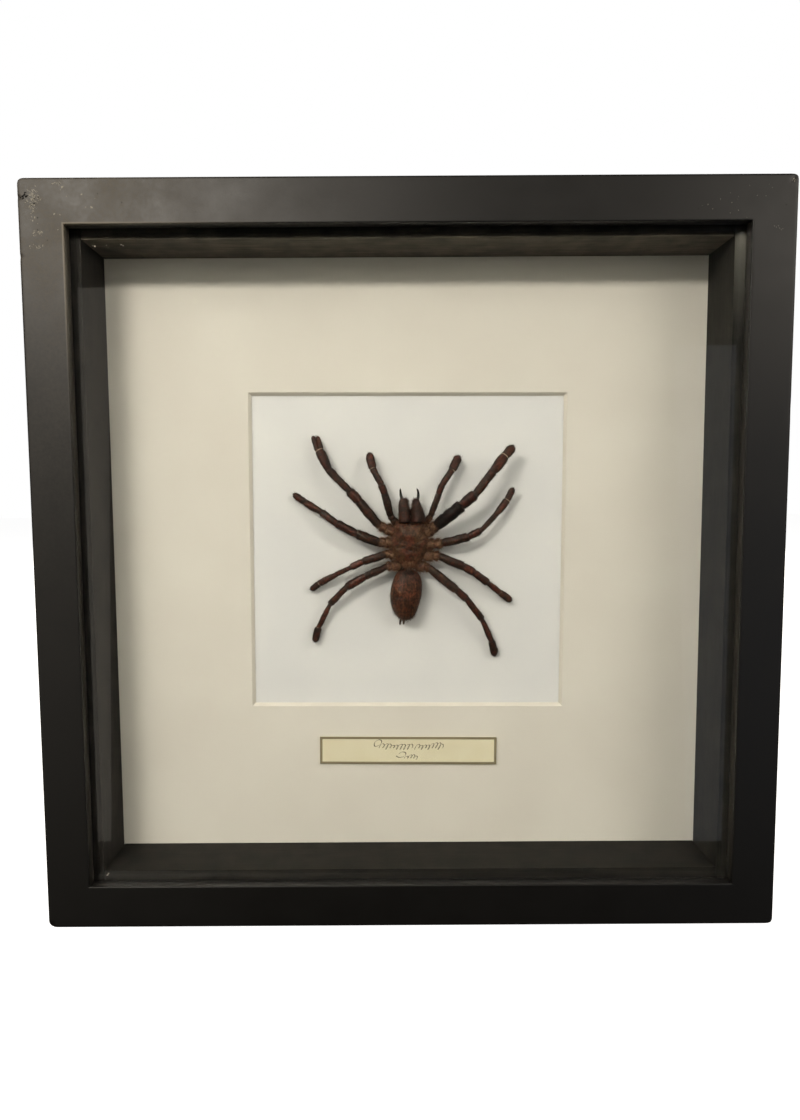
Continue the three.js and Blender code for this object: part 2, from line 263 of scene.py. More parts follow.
# Matt white card: its own soft glow keeps it pale where the lamps reach it at a slant.
floor_card, _, _ = finish_named(
    "matt_white_card", Base_Color=linear("#d8d8d6"), Roughness=0.9,
    Emission_Color=linear("#ffffff"), Emission_Strength=0.97,
)
bpy.ops.mesh.primitive_grid_add(x_subdivisions=4, y_subdivisions=4, size=12, location=(0, 0, -0.0005))
floor = bpy.context.object
floor.name = "floor"
floor.data.materials.append(floor_card)
floor.visible_diffuse = False
floor.visible_glossy = False
floor.visible_transmission = False

# %% [markdown]
# ## Tools for meshes
#
# The new pieces are all made of closed parts: lofts of rings, and thousands of tiny spikes
# for hair. A small collector keeps the parts of one piece together, each with its own
# material slot and two numbers at every corner, which the materials read: a tone, and how
# pale the spot is. It turns each part's faces outwards, whatever order they came in.


# %% Define the mesh tools
def outward(corners, faces):
    """The faces, turned over as one if the closed part they make is inside out."""
    middle = corners.mean(axis=0)
    volume = 0.0
    for sides in (3, 4):
        rows = np.array([f for f in faces if len(f) == sides]).reshape(-1, sides)
        if len(rows):
            points = corners[rows] - middle
            for k in range(1, sides - 1):
                volume += np.einsum("ij,ij->", points[:, 0], np.cross(points[:, k], points[:, k + 1]))
    return faces if volume > 0 else [f[::-1] for f in faces]


class Piece:
    """Collects the closed parts of one piece and makes them one object."""

    def __init__(self, name):
        self.name = name
        self.corners, self.faces, self.slots, self.tone, self.pale = [], [], [], [], []
        self.count = 0

    def put(self, corners, faces, slot=0, tone=0.0, pale=0.0):
        """Adds a part by its corners in metres and its faces."""
        corners = np.asarray(corners, float)
        self.faces += [[i + self.count for i in f] for f in outward(corners, faces)]
        self.slots += [slot] * len(faces)
        self.corners.append(corners)
        self.tone.append(np.broadcast_to(tone, len(corners)))
        self.pale.append(np.broadcast_to(pale, len(corners)))
        self.count += len(corners)

    def make(self, materials, stands_for=(), smooth=True):
        """Makes the collected parts one object, which may stand for CAD nodes."""
        mesh = bpy.data.meshes.new(self.name)
        mesh.from_pydata(np.concatenate(self.corners).tolist(), [], self.faces)
        for material in materials:
            mesh.materials.append(material)
        mesh.polygons.foreach_set("material_index", self.slots)
        mesh.polygons.foreach_set("use_smooth", [smooth] * len(self.faces))
        for name, values in (("tone", self.tone), ("pale", self.pale)):
            mesh.attributes.new(name, "FLOAT", "POINT").data.foreach_set(
                "value", np.concatenate(values).astype(np.float32)
            )
        mesh.update()
        made = bpy.data.objects.new(self.name, mesh)
        bpy.context.scene.collection.objects.link(made)
        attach(made, "root")
        if stands_for:
            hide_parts(*stands_for)
        triangles = sum(len(f) - 2 for f in self.faces)
        print(self.name, len(self.faces), "faces,", triangles, "triangles")
        return made


def ring_faces(rings, around):
    """Faces of a closed loft: a band of quads between rings, and a cap at each end."""

    def at(ring, i):
        return ring * around + i % around

    faces = [
        [at(r, i), at(r, i + 1), at(r + 1, i + 1), at(r + 1, i)]
        for r in range(rings - 1)
        for i in range(around)
    ]
    return faces + [list(range(around))[::-1], [(rings - 1) * around + i for i in range(around)]]


def flowing(places, values, at):
    """A smooth curve through values at places, read at other places."""
    places, values, at = (np.asarray(v, float) for v in (places, values, at))
    slopes = np.gradient(values, places)
    i = np.clip(np.searchsorted(places, at) - 1, 0, len(places) - 2)
    span = places[i + 1] - places[i]
    t = np.clip((at - places[i]) / span, 0, 1)
    return (
        (2 * t**3 - 3 * t**2 + 1) * values[i]
        + (t**3 - 2 * t**2 + t) * slopes[i] * span
        + (3 * t**2 - 2 * t**3) * values[i + 1]
        + (t**3 - t**2) * slopes[i + 1] * span
    )


def ripple(points, size, seed=0.0):
    """Smooth noise from -1 to 1 at points in millimetres, with cells of that size."""
    shift = Vector((seed * 17.3, seed * 5.1, seed * 9.7))
    return np.array([noise.noise(Vector(p) / size + shift) for p in np.asarray(points).tolist()])


print("tools ready")

# %% [markdown]
# ## Satin black paint on wood
#
# The rails are a soft wood moulding, sprayed with black satin lacquer over a filler. The lacquer is not
# quite black: it is a very dark warm grey, smooth to the finger, with a broad dull shine that turns milky
# towards a lamp. Under a close look the spray left a faint orange-peel, and handling left rougher patches
# near one corner. In clouds near that corner, along the top and left rails and on the rails' inner walls,
# the colour is painted greyer as a painted sheen of the lamps. The inner arris near that corner is
# painted paler, partly as paint rubbed thin and partly as a painted highlight. The roughness starts from
# 0.4, which is usual for a satin lacquer.

# %% Make the rail lacquer
rail_paint, tree, shader = finish_named(
    "satin_black_lacquer_sprayed", Roughness=0.42, IOR=1.5, Specular_IOR_Level=0.5
)
spot = add(tree, "TexCoord").outputs["Object"]
cloud = clouds(tree, spot, 22, 6.0, Roughness=0.65)
fine = clouds(tree, spot, 1.6, 4.0, Roughness=0.7)
milky = ramp(tree, sums(tree, "MULTIPLY", cloud, fine), 0.16, 0.36, 0.2, 1.0)
# painted sheen: the colour is lifted in clouds where the lamps would shine on the lacquer
painted_sheen = sums(tree, "MULTIPLY", carried(tree, "pale"), milky)
colour = blend(tree, painted_sheen, "#171615", "#5f594f")
colour = blend(tree, carried(tree, "tone"), colour, "#948c7e")  # where the inner arris is rubbed thin, and painted paler as a painted highlight
rough = ramp(tree, cloud, 0.3, 0.7, 0.38, 0.47)
rougher = sums(tree, "MULTIPLY_ADD", painted_sheen, 0.12, rough)
peel = clouds(tree, spot, 0.9, 2.0)
dress(tree, shader, colour, peel, 0.12, 0.06, rougher)
print("rail finishes ready")

# %% [markdown]
# ## The four rails
#
# A framer chops the moulding at 45 degrees and glues four lengths. Each rail is lofted here
# as that moulding is: one section, with its eased front edges, its lip over the glass and
# the rebate behind it, carried along the rail and cut off at both mitres. The mesh is finer
# near the ends, because that is where a box gets knocked, and there the corners are rounded
# off a little, with nicks pressed into the paint at their own places.

# %% Loft the rails with their knocks
FACE, WALL, LIP = 17.5, 12.7, 5.5  # the face's width, the wall's behind the rebate, the lip's depth
EASE, INNER_EASE, BACK_EASE = 0.9, 0.45, 0.4  # how far each edge is rounded off
DEEP = BACK - FRONT
SIGHT = HALF - FACE  # how far the rails' inner edges are from the frame's middle


def rail_section():
    """Corners of a rail's section, as distance in from the outer side and depth."""
    arc = np.radians(np.linspace(0, 90, 7))
    outer = [(0, d) for d in np.arange(DEEP - BACK_EASE, EASE, -3.0)]
    outer_ease = [(EASE - EASE * math.cos(a), EASE - EASE * math.sin(a)) for a in arc]
    face = [(x, 0) for x in np.arange(EASE + 0.7, FACE - INNER_EASE - 0.3, 0.75)]
    inner_ease = [(FACE - INNER_EASE * (1 - math.sin(a)), INNER_EASE * (1 - math.cos(a))) for a in arc]
    lip = [(FACE, 3.0), (FACE, LIP - 0.3), (FACE - 0.3, LIP)]
    rebate = [(WALL, LIP), (WALL, 18), (WALL, 31), (WALL, DEEP - BACK_EASE), (WALL - BACK_EASE, DEEP)]
    return np.array(outer + outer_ease + face + inner_ease + lip + rebate + [(BACK_EASE, DEEP)])


# Knocks near the corners, from the frame's middle: x, z, radius and how deep.
KNOCKS = [
    (-149.3, 142.6, 0.6, 0.5), (-146.9, 143.4, 0.6, 0.12), (-143.4, 139.9, 0.7, 0.1),
    (-149.7, 120.5, 0.8, 0.25), (-142.0, 142.4, 0.6, 0.1), (147.9, 148.2, 0.7, 0.25),
    (149.8, 60.0, 0.9, 0.25), (-148.9, -149.2, 1.2, 0.5),
]
CORNER_ROUND = {(-1, 1): 3.2, (1, 1): 3.0, (1, -1): 3.2, (-1, -1): 3.2}


def knocked(points):
    """Points of the rails, in frame millimetres (x, depth, z), after years of handling."""
    points = points.copy()
    for x, z, radius, press in KNOCKS:
        away = np.hypot(points[:, 0] - x, points[:, 2] - z)
        dip = press * np.exp(-((away / radius) ** 2)) * np.exp(-points[:, 1] / 2.0)
        points[:, 1] += dip
        points[:, 0] -= np.sign(points[:, 0]) * dip * 0.55 * (np.abs(points[:, 0]) > 148)
        points[:, 2] -= np.sign(points[:, 2]) * dip * 0.55 * (np.abs(points[:, 2]) > 148)
    for (way_x, way_z), radius in CORNER_ROUND.items():
        limit = HALF - radius
        over_x, over_z = way_x * points[:, 0] - limit, way_z * points[:, 2] - limit
        length = np.maximum(np.hypot(over_x, over_z), 1e-9)
        both = (over_x > 0) & (over_z > 0)
        cut = np.where(length > radius, radius / length, 1.0)
        points[:, 0] = np.where(both, way_x * (limit + over_x * cut), points[:, 0])
        points[:, 2] = np.where(both, way_z * (limit + over_z * cut), points[:, 2])
    return points


def sheen_and_handling_share(points):
    """Where the lacquer's colour is painted paler as a painted sheen, and handling makes it rougher: most
    at the upper left corner, along the top and left rails, and on the inner walls.
    """
    away = np.hypot((points[:, 0] + 139) / 42, (points[:, 2] - 141) / 34)
    along_top = np.exp(-(((points[:, 0] + 150) / 95) ** 2)) * (points[:, 2] > 130)
    along_left = np.exp(-(((points[:, 2] - 150) / 110) ** 2)) * (points[:, 0] < -130)
    inside = np.abs(np.abs(points[:, 0]) - SIGHT) < 0.1
    # the inner walls are painted paler, as painted light from the side lamps
    painted_light_on_wall = 0.42 * (points[:, 1] > INNER_EASE) * (points[:, 1] < LIP) * inside
    return np.clip(np.exp(-(away**2)) + 0.35 * along_top + 0.35 * along_left + painted_light_on_wall, 0, 1)


def edge_wear_and_highlight(points, inward):
    """How far the inner arris near the upper left corner is painted paler: paint rubbed thin, and a
    painted highlight along the edge.
    """
    on_edge = (inward > FACE - INNER_EASE * 1.6) & (points[:, 1] < INNER_EASE * 1.2)
    away = np.hypot(points[:, 0] + 132, points[:, 2] - 132)
    return on_edge * np.exp(-((away / 42) ** 2))


def to_metres(points):
    """Frame millimetres (x, depth, z from the middle) as Blender's metres."""
    return np.c_[points[:, 0], points[:, 1] + FRONT, points[:, 2] + HALF] * MM


near_end = np.r_[0, 0.3, 0.6, 0.9, 1.3, 1.8, np.arange(2.4, 34, 0.8)]
stations = np.unique(np.r_[near_end, np.arange(34, HALF, 5.0), HALF])
shares = np.r_[-1 + stations / HALF, (1 - stations / HALF)[::-1][1:]]
section = rail_section()
turns = {"bottom": 0, "left": math.pi / 2, "top": math.pi, "right": -math.pi / 2}
for side, turn in turns.items():
    along = shares[:, None] * (HALF - section[None, :, 0])
    inward = np.broadcast_to(section[:, 0] - HALF, along.shape)
    depths = np.broadcast_to(section[:, 1], along.shape)
    points = np.stack(
        [
            along * math.cos(turn) + inward * math.sin(turn),
            depths,
            -along * math.sin(turn) + inward * math.cos(turn),
        ],
        axis=2,
    ).reshape(-1, 3)
    points = knocked(points)
    rail = Piece(f"rail_{side}_lacquered")
    rail.put(
        to_metres(points), ring_faces(len(shares), len(section)), pale=sheen_and_handling_share(points),
        tone=edge_wear_and_highlight(points, np.tile(section[:, 0], len(shares))),
    )
    made = rail.make([rail_paint], [f"frame_rail_{side}"])
    made.data.set_sharp_from_angle(angle=math.radians(50))

# %% [markdown]
# ## Chips, scuffs and dust
#
# The frame has been handled. Its upper left corner is scuffed: a small dark nick where the
# lacquer broke out, a cluster of short pale scratches beside it, and pale specks down the
# rail. The upper right corner has a few finer ones. A little dust lies on the glass. Each
# mark is a flake of a few tenths of a millimetre with a ragged outline, lying flat on the
# lacquer, since that is what a scuff is: a spot where the skin is roughened or gone.

# %% Lay the chips, the scuffs and the dust
scuffed, _, _ = finish_named("lacquer_scuffed_pale", Base_Color=linear("#b4afa2"), Roughness=0.75)
broken, _, _ = finish_named("lacquer_broken_out", Base_Color=linear("#0b0a09"), Roughness=0.9)
lint, _, _ = finish_named("dust_and_lint", Base_Color=linear("#cfcabb"), Roughness=0.95)
dice = np.random.default_rng(5)


def flake(piece, x, z, size, slot=0, stretch=1.0, angle=0.0, level=0.0, corners=9):
    """A thin ragged flake that lies on the frame's face, or at another depth."""
    turn = np.linspace(0, 2 * math.pi, corners, endpoint=False)
    reach = size / 2 * (0.6 + 0.6 * dice.random(corners))
    u, v = reach * np.cos(turn) * stretch, reach * np.sin(turn)
    px = x + u * math.cos(angle) - v * math.sin(angle)
    pz = z + u * math.sin(angle) + v * math.cos(angle)
    front = np.c_[px, np.full(corners, level - 0.016), pz]
    back = np.c_[px, np.full(corners, level + 0.03), pz]
    piece.put(to_metres(np.concatenate([front, back])), ring_faces(2, corners), slot)


def scatter(piece, x, z, spread, count, sizes, stretches=(1.0, 2.0), lean=(0.0, math.pi), slot=0):
    """Marks thrown round a spot, most of them near it."""
    for _ in range(count):
        flake(
            piece, x + dice.normal(0, spread[0]), z + dice.normal(0, spread[1]), dice.uniform(*sizes),
            slot, dice.uniform(*stretches), dice.uniform(*lean),
        )


marks = Piece("rail_scuffs_and_chips")
scatter(marks, -143.6, 142.4, (1.2, 1.4), 60, (0.16, 0.42), (1.5, 4.5), (2.0, 2.7))
scatter(marks, -144.4, 138.2, (0.6, 1.5), 22, (0.16, 0.4), (1.2, 2.5))
for x, z, size in (
    (-132.4, 146.2, 0.9), (-133.1, 145.2, 0.4), (-135.9, 136.3, 0.6), (-133.7, 136.0, 0.4),
    (-143.4, 135.0, 0.7), (-144.2, 133.8, 0.6), (-141.0, 129.7, 0.7), (-144.2, 129.1, 0.4),
    (-141.7, 128.9, 0.4), (-143.0, 123.9, 0.6), (-145.8, 124.3, 0.4), (-140.8, 124.3, 0.4),
    (-125.1, 143.5, 0.5), (-121.5, 138.7, 0.8), (-123.7, 138.8, 0.4), (-134.7, 130.4, 0.4),
    (-142.4, 132.7, 0.3), (-130.9, 142.8, 0.4), (-120.0, 142.0, 0.25),
):
    flake(marks, x, z, size, 0, dice.uniform(1, 1.8), dice.uniform(0, 3))
scatter(marks, -133.6, 147.6, (1.5, 0.3), 9, (0.15, 0.3), (2.0, 4.0), (-0.2, 0.2))
scatter(marks, -142.6, 129.2, (1.4, 0.5), 16, (0.14, 0.34), (1.5, 3.0), (-0.5, 0.5))
scatter(marks, -143.0, 124.2, (1.8, 0.6), 18, (0.14, 0.34), (1.2, 2.5))
for x, z in (
    (140.9, 130.3), (141.6, 129.9), (142.3, 130.4), (142.9, 129.5), (143.6, 128.9), (144.1, 129.3),
):
    flake(marks, x, z, 0.13, 0, 3.0, 2.36)
scatter(marks, 147.9, 147.6, (0.35, 0.35), 9, (0.14, 0.24), (1.0, 3.0), (2.0, 2.7))
scatter(marks, 127.0, 140.0, (9.0, 3.2), 16, (0.1, 0.18), (1.0, 3.0), (1.3, 1.9))
for x, z in (
    (-148.4, 142.5), (-147.6, 143.0), (-146.7, 144.2), (-146.3, 142.9), (-147.7, 142.1), (-147.0, 143.5),
):
    flake(marks, x, z, dice.uniform(0.5, 0.8), 1, 1.5, 0.6)
for x, z, size in (
    (-142.3, 134.9, 0.4), (-142.5, 130.4, 0.4), (-139.0, 126.5, 0.35), (-119.0, 143.7, 0.3),
    (-109.8, 140.5, 0.4), (-141.9, 142.6, 0.4), (-143.5, 140.2, 0.5), (-144.6, 139.5, 0.5),
    (145.1, 138.2, 0.4), (111.4, 136.9, 0.3),
):
    flake(marks, x, z, size, 1, 1.4, 2.3)
marks.make([scuffed, broken], smooth=False)

dust = Piece("dust_on_the_glass")
for x, z, size in (
    (-122.8, 125.9, 0.5), (-123.6, 126.1, 0.3), (-112.5, 126.5, 0.45), (-111.7, 126.1, 0.4),
    (-118.2, 126.3, 0.25), (-70.5, 90.0, 0.3), (69.0, -88.4, 0.35), (82.5, 88.2, 0.3),
    (-96.0, 40.0, 0.18), (20.0, -112.0, 0.2),
):
    flake(dust, x, z, size, 0, 1.3, dice.uniform(0, 3), GLASS_FACE - FRONT, 7)
dust.make([lint], smooth=False)

# %% [markdown]
# ## Glass
#
# The pane is plain 2 mm float glass: flat on both sides, with an index near 1.52 and a trace
# of green that only its edges show. It keeps its solid and lets the lamps' light through
# unshaded, because a path tracer would otherwise have to find that light by chance.

# %% Glaze the box
float_glass, _, _ = finish_named(
    "clear_float_glass", Base_Color=linear("#fbfffd"), Roughness=0.0, IOR=1.52, Transmission_Weight=1.0
)
wear_to(["glass_pane"], float_glass)
NODES["glass_pane"].visible_shadow = False
print("glazed with", float_glass.name)

# %% [markdown]
# ## Spacers
#
# Four strips of softwood hold the glass away from the mat. They are stained black, not lacquered, so they
# look matt, a little brown where the light strikes them, and the saw's long fine lines show along their
# length. Each strip has its own two tones, set for the light and shade on its side of the box: the top
# strip is painted much paler as painted light, and the bottom one darkest as painted shade. The right
# one's front edge is painted grey over its uppermost few centimetres, as a painted highlight. A small
# bevel eases their edges.

# %% Stain the spacers
STRIPS_LIT_AND_SHADED = {  # how the grain runs, and the darkest and palest tone, painted lighter or darker for the light on each side
    "left": ((1, 1, 0.04), "#151412", "#272320"),
    "right": ((1, 1, 0.04), "#171613", "#262420"),
    "top": ((0.04, 1, 1), "#3a3630", "#595248"),
    "bottom": ((0.04, 1, 1), "#12110f", "#201d19"),
}
for side, (stretch, dark, pale) in STRIPS_LIT_AND_SHADED.items():
    stained, tree, shader = finish_named(
        f"black_stained_softwood_lit_and_shaded_{side}", Roughness=0.7, IOR=1.5, Specular_IOR_Level=0.2
    )
    spot = add(tree, "TexCoord").outputs["Object"]
    drawn = add(tree, "Mapping", {"Vector": spot, "Scale": stretch}).outputs[0]
    grain = clouds(tree, drawn, 0.7, 5.0)
    share = sums(tree, "MULTIPLY", grain, clouds(tree, spot, 9, 3.0))
    colour = blend(tree, ramp(tree, share, 0.15, 0.36), dark, pale)
    if side == "right":
        # painted highlight on the right strip's front face, near its top
        looks = add(tree, "SeparateXYZ", {0: add(tree, "NewGeometry").outputs["True Normal"]})
        place = add(tree, "SeparateXYZ", {0: spot})
        front = ramp(tree, looks.outputs["Y"], -0.35, -1.0)
        high = ramp(tree, place.outputs["Z"], 0.235, 0.277)  # metres up
        painted_highlight = sums(tree, "MULTIPLY", front, sums(tree, "POWER", high, 2.0))
        colour = blend(tree, painted_highlight, colour, "#5f5d57")
    dress(tree, shader, colour, grain, 0.25, 0.08)
    wear_to([f"spacer_{side}"], stained)


def ease_edges(node, width, segments=2):
    """A small bevel on a CAD node's sharp edges, as a modifier, so that its mesh is kept."""
    bevel = NODES[node].modifiers.new("eased_edges", "BEVEL")
    bevel.width = width * MM
    bevel.segments = segments
    bevel.limit_method = "ANGLE"
    bevel.harden_normals = True


STRIP_BEVEL = 1.1
for side in STRIPS_LIT_AND_SHADED:
    ease_edges(f"spacer_{side}", STRIP_BEVEL, 4)
print("spacers eased:", len(STRIPS_LIT_AND_SHADED))

# %% [markdown]
# ## A chip in the bottom strip
#
# The bottom strip lost a sliver at its left end, on the rounded edge, and the pale bare wood
# shows there. It is laid on like the scuffs: six ragged flakes in a short slanting row, each
# set back as far as the rounded edge has dropped where it lies.

# %% Chip the end of the bottom strip
bare_wood, _, _ = finish_named("softwood_bare_in_a_chip", Base_Color=linear("#857e73"), Roughness=0.85)
STRIP_FRONT = depth("spacer_bottom", 0) - FRONT
STRIP_END, STRIP_TOP = -128.7, -129.0  # where its left end (x) and its upper edge (z) are


def eased_depth(inward):
    """How far a rounded edge has dropped back at a distance in from its corner."""
    short = max(STRIP_BEVEL - inward, 0.0)
    return STRIP_BEVEL - math.sqrt(max(STRIP_BEVEL**2 - short**2, 0.0))


chip = Piece("spacer_end_chip")
for share in np.linspace(0, 1, 6):
    x, z = -128.3 + 2.0 * share, -131.9 + 2.7 * share
    level = STRIP_FRONT + max(eased_depth(x - STRIP_END), eased_depth(STRIP_TOP - z))
    flake(chip, x, z, 0.8 - 0.7 * abs(share - 0.45), 0, 1.7, 0.95, level)
chip.make([bare_wood], smooth=False)

# %% [markdown]
# ## Mat board
#
# Mat board is sheets of paper pulp glued in a stack: a faintly toothed face over a core of
# warmer pulp. A blade held at a slant cut the window, and the slope it left shows the core.
# The core is told from the face by the direction that a surface looks in, so the cut stays
# crisp at any distance. The tooth is a little under half a millimetre wide.

# %% Make the boards and the paper
mat_paper, tree, shader = finish_named("cream_toothed_mat_board", Roughness=0.92)
spot = add(tree, "TexCoord").outputs["Object"]
tooth = clouds(tree, spot, 0.45, 5.0, Roughness=0.7)
both = sums(tree, "MULTIPLY_ADD", tooth, 0.25, clouds(tree, spot, 38, 2.0))
face = blend(tree, ramp(tree, both, 0.35, 0.9), "#d5cfc7", "#ddd8d0")
looks = add(tree, "SeparateXYZ", {0: add(tree, "NewGeometry").outputs["True Normal"]})
is_core = sums(tree, "GREATER_THAN", looks.outputs["Y"], -0.95)
dress(tree, shader, blend(tree, is_core, face, "#d4cec4"), tooth, 0.2, 0.05)
wear_to(["mat_board"], mat_paper)

# Smooth white board: less tooth than the mat, and a nearly neutral white.
white_card, tree, shader = finish_named("smooth_white_board", Roughness=0.8)
spot = add(tree, "TexCoord").outputs["Object"]
fibre = clouds(tree, spot, 0.8, 4.0)
both = sums(tree, "MULTIPLY_ADD", fibre, 0.3, clouds(tree, spot, 30, 2.0))
colour = blend(tree, ramp(tree, both, 0.4, 0.9), "#d9d8da", "#e0dfdf")
dress(tree, shader, colour, fibre, 0.1, 0.04)
wear_to(["specimen_board"], white_card)
print("boards ready")

# %% [markdown]
# ## Label
#
# The label is a strip of aged cream paper, printed with an olive-brown rule that runs along
# its very edge, darker at both sides of the rule than in its middle. Two centred rows of pen
# strokes fill it. They are loops and swashes that spell nothing, in the slant and the thick
# and thin of a copperplate hand. Rule and strokes are thin raised shapes a few hundredths of
# a millimetre thick, because a thin ink line drawn by geometry keeps its edge.

# %% Make the label's paper, its rule and its strokes
label_paper, tree, shader = finish_named("aged_cream_laid_paper", Roughness=0.85)
spot = add(tree, "TexCoord").outputs["Object"]
both = sums(tree, "MULTIPLY_ADD", clouds(tree, spot, 0.5, 4.0), 0.25, clouds(tree, spot, 11, 3.0))
dress(tree, shader, blend(tree, ramp(tree, both, 0.35, 0.85), "#d8ceb0", "#dfd7be"))
wear_to(["label_card"], label_paper)

rule_ink, _, _ = finish_named("olive_brown_printing_ink", Base_Color=linear("#857a5f"), Roughness=0.7)
rule_dark, _, _ = finish_named("olive_brown_ink_edge", Base_Color=linear("#6a6049"), Roughness=0.7)
pen_ink, _, _ = finish_named("faded_iron_gall_ink", Base_Color=linear("#29251a"), Roughness=0.7)
LABEL = {"width": 79.2, "height": 12.5, "drop": 86.4, "tilt": math.radians(0.5)}
LIFT, THICK = 0.03, 0.02  # how far ink lies in front of the paper, and how thick it is


def on_label(points, lift=LIFT):
    """Label millimetres (x, z) as metres, just in front of the paper."""
    points = np.asarray(points, float)
    cos, sin = math.cos(LABEL["tilt"]), math.sin(LABEL["tilt"])
    x = points[:, 0] * cos + points[:, 1] * sin
    z = -points[:, 0] * sin + points[:, 1] * cos
    return np.c_[x, np.full(len(points), LABEL_FACE - lift), z - LABEL["drop"] + HALF] * MM


def thin_band(piece, left, right, slot=0, lift=LIFT):
    """A thin closed band between two lines of label points."""
    count, under = len(left), lift - THICK
    corners = np.concatenate([
        on_label(left, lift), on_label(right, lift), on_label(left, under), on_label(right, under)
    ])
    faces = []
    for i in range(count - 1):
        j = i + 1
        faces += [
            [i, j, count + j, count + i], [2 * count + j, 2 * count + i, 3 * count + i, 3 * count + j],
            [i, 2 * count + i, 2 * count + j, j], [count + j, 3 * count + j, 3 * count + i, count + i],
        ]
    end = count - 1
    faces += [[0, count, 3 * count, 2 * count], [count + end, end, 2 * count + end, 3 * count + end]]
    piece.put(corners, faces, slot)


def frame_loop(inset):
    """The label's four corners, moved in from its edge."""
    x, z = LABEL["width"] / 2 - inset, LABEL["height"] / 2 - inset
    return [(-x, -z), (x, -z), (x, z), (-x, z)]


rule = Piece("label_rule")
for outer, inner, slot, lift in (
    (0.02, 0.28, 1, 0.034), (0.28, 0.86, 0, 0.03), (0.86, 1.08, 1, 0.034),
):
    for k in range(4):
        a, b = frame_loop(outer), frame_loop(inner)
        thin_band(rule, [a[k], a[(k + 1) % 4]], [b[k], b[(k + 1) % 4]], slot, lift)
rule.make([rule_ink, rule_dark], smooth=False)


def stroke(line, hand=0.19, slant=0.55):
    """An inked pen stroke: thick where it comes down, thin where it goes up or across."""
    line = np.asarray(line, float)
    line = np.c_[line[:, 0] + slant * line[:, 1], line[:, 1]]
    step = np.gradient(line, axis=0)
    length = np.maximum(np.hypot(step[:, 0], step[:, 1]), 1e-9)
    nib = np.array([math.cos(math.radians(35)), math.sin(math.radians(35))])
    press = np.abs(step @ np.array([-nib[1], nib[0]])) / length
    half = hand * (0.26 + 0.74 * press**1.5)
    normal = np.c_[-step[:, 1], step[:, 0]] / length[:, None]
    return line + normal * half[:, None], line - normal * half[:, None]


def loops(start, width, waves, height, seed):
    """A running line of pen loops of uneven height, which stand for no letters."""
    dice = np.random.default_rng(seed)
    tall = dice.choice([0.7, 0.85, 1.0, 1.7, 1.9], waves + 2, p=[0.3, 0.3, 0.2, 0.1, 0.1])
    below = dice.choice([0.0, 0.0, 0.9], waves + 2)
    s = np.linspace(0, waves, waves * 26)
    rise = np.interp(s, np.arange(waves + 2), tall)
    fall = np.interp(s, np.arange(waves + 2), below)
    beat = 2 * np.pi * s
    z = height * (0.5 * rise * (1 - np.cos(beat)) / 2 - 0.35 * fall * np.clip(np.cos(beat + 0.6), 0, 1))
    x = start + width * s / waves - 0.34 * width / waves * np.sin(beat)
    return np.c_[x, z]


strokes = Piece("label_pen_strokes")


def write(line, drop, hand=0.19):
    """Inks a line of the label, raised or lowered from its middle."""
    left, right = stroke(line, hand)
    thin_band(strokes, left + [0, drop], right + [0, drop], 0, 0.026)


def swash(x, z, wide, high, start, turn, shrink):
    """A curl that opens a row, wound inwards round a spot."""
    sweep = np.linspace(0, 1, 60)
    angle = start + turn * sweep
    return np.c_[x + wide * np.cos(angle) * (1 - shrink * sweep), z + high * np.sin(angle)]


write(swash(-14.6, 1.5, 1.9, 1.5, 4.2, 6.4, 0.35), 1.9, 0.2)
write(loops(-13.0, 14.5, 9, 2.7, 4), 1.2)
write(loops(3.2, 12.0, 8, 2.7, 9), 1.2)
write(swash(-3.6, 1.1, 2.3, 1.25, 3.6, 5.6, 0.4), -3.0, 0.2)
write(loops(-1.6, 5.4, 4, 2.5, 3), -3.5)
strokes.make([pen_ink], smooth=False)

# %% [markdown]
# ## The back
#
# Behind, everything is plain work: a sheet of hardboard, pressed brown fibre with a slick
# face, held by flat steel points that a framer's gun shoots into the rebate, and a brass
# plated sawtooth hanger on two rivets.

# %% Finish the back
hardboard, tree, shader = finish_named("pressed_brown_hardboard", Roughness=0.55)
spot = add(tree, "TexCoord").outputs["Object"]
fibre = clouds(tree, spot, 1.3, 8.0, Roughness=0.75, Distortion=1.2)
both = sums(tree, "MULTIPLY", fibre, clouds(tree, spot, 26, 4.0))
dress(tree, shader, blend(tree, ramp(tree, both, 0.14, 0.38), "#6b4b2f", "#846140"), fibre, 0.3, 0.1)
wear_to(["back_board"], hardboard)


def metal(name, pale, dull, roughness):
    """A thin plated or rolled metal: fine drawn lines, and dull clouds where it has aged."""
    made, tree, shader = finish_named(name, Metallic=1.0, Roughness=roughness)
    spot = add(tree, "TexCoord").outputs["Object"]
    drawn = add(tree, "Mapping", {"Vector": spot, "Scale": (0.08, 1, 1)}).outputs[0]
    cloud = clouds(tree, spot, 4, 5.0)
    rough = ramp(tree, cloud, 0.3, 0.7, roughness - 0.08, roughness + 0.12)
    dress(tree, shader, blend(tree, cloud, pale, dull), clouds(tree, drawn, 0.25, 3.0), 0.25, 0.02, rough)
    return made


steel = metal("bright_rolled_steel", "#c2c3c0", "#8d8e8b", 0.34)
brass = metal("brass_plated_steel", "#d8b56a", "#a3803f", 0.3)
holding_points = [n for n in NODES if n.startswith("back_point_")]
wear_to(holding_points, steel)
wear_to(["hanger"], brass)
for node in holding_points:
    ease_edges(node, 0.12)
ease_edges("hanger", 0.15)
ease_edges("back_board", 0.3)

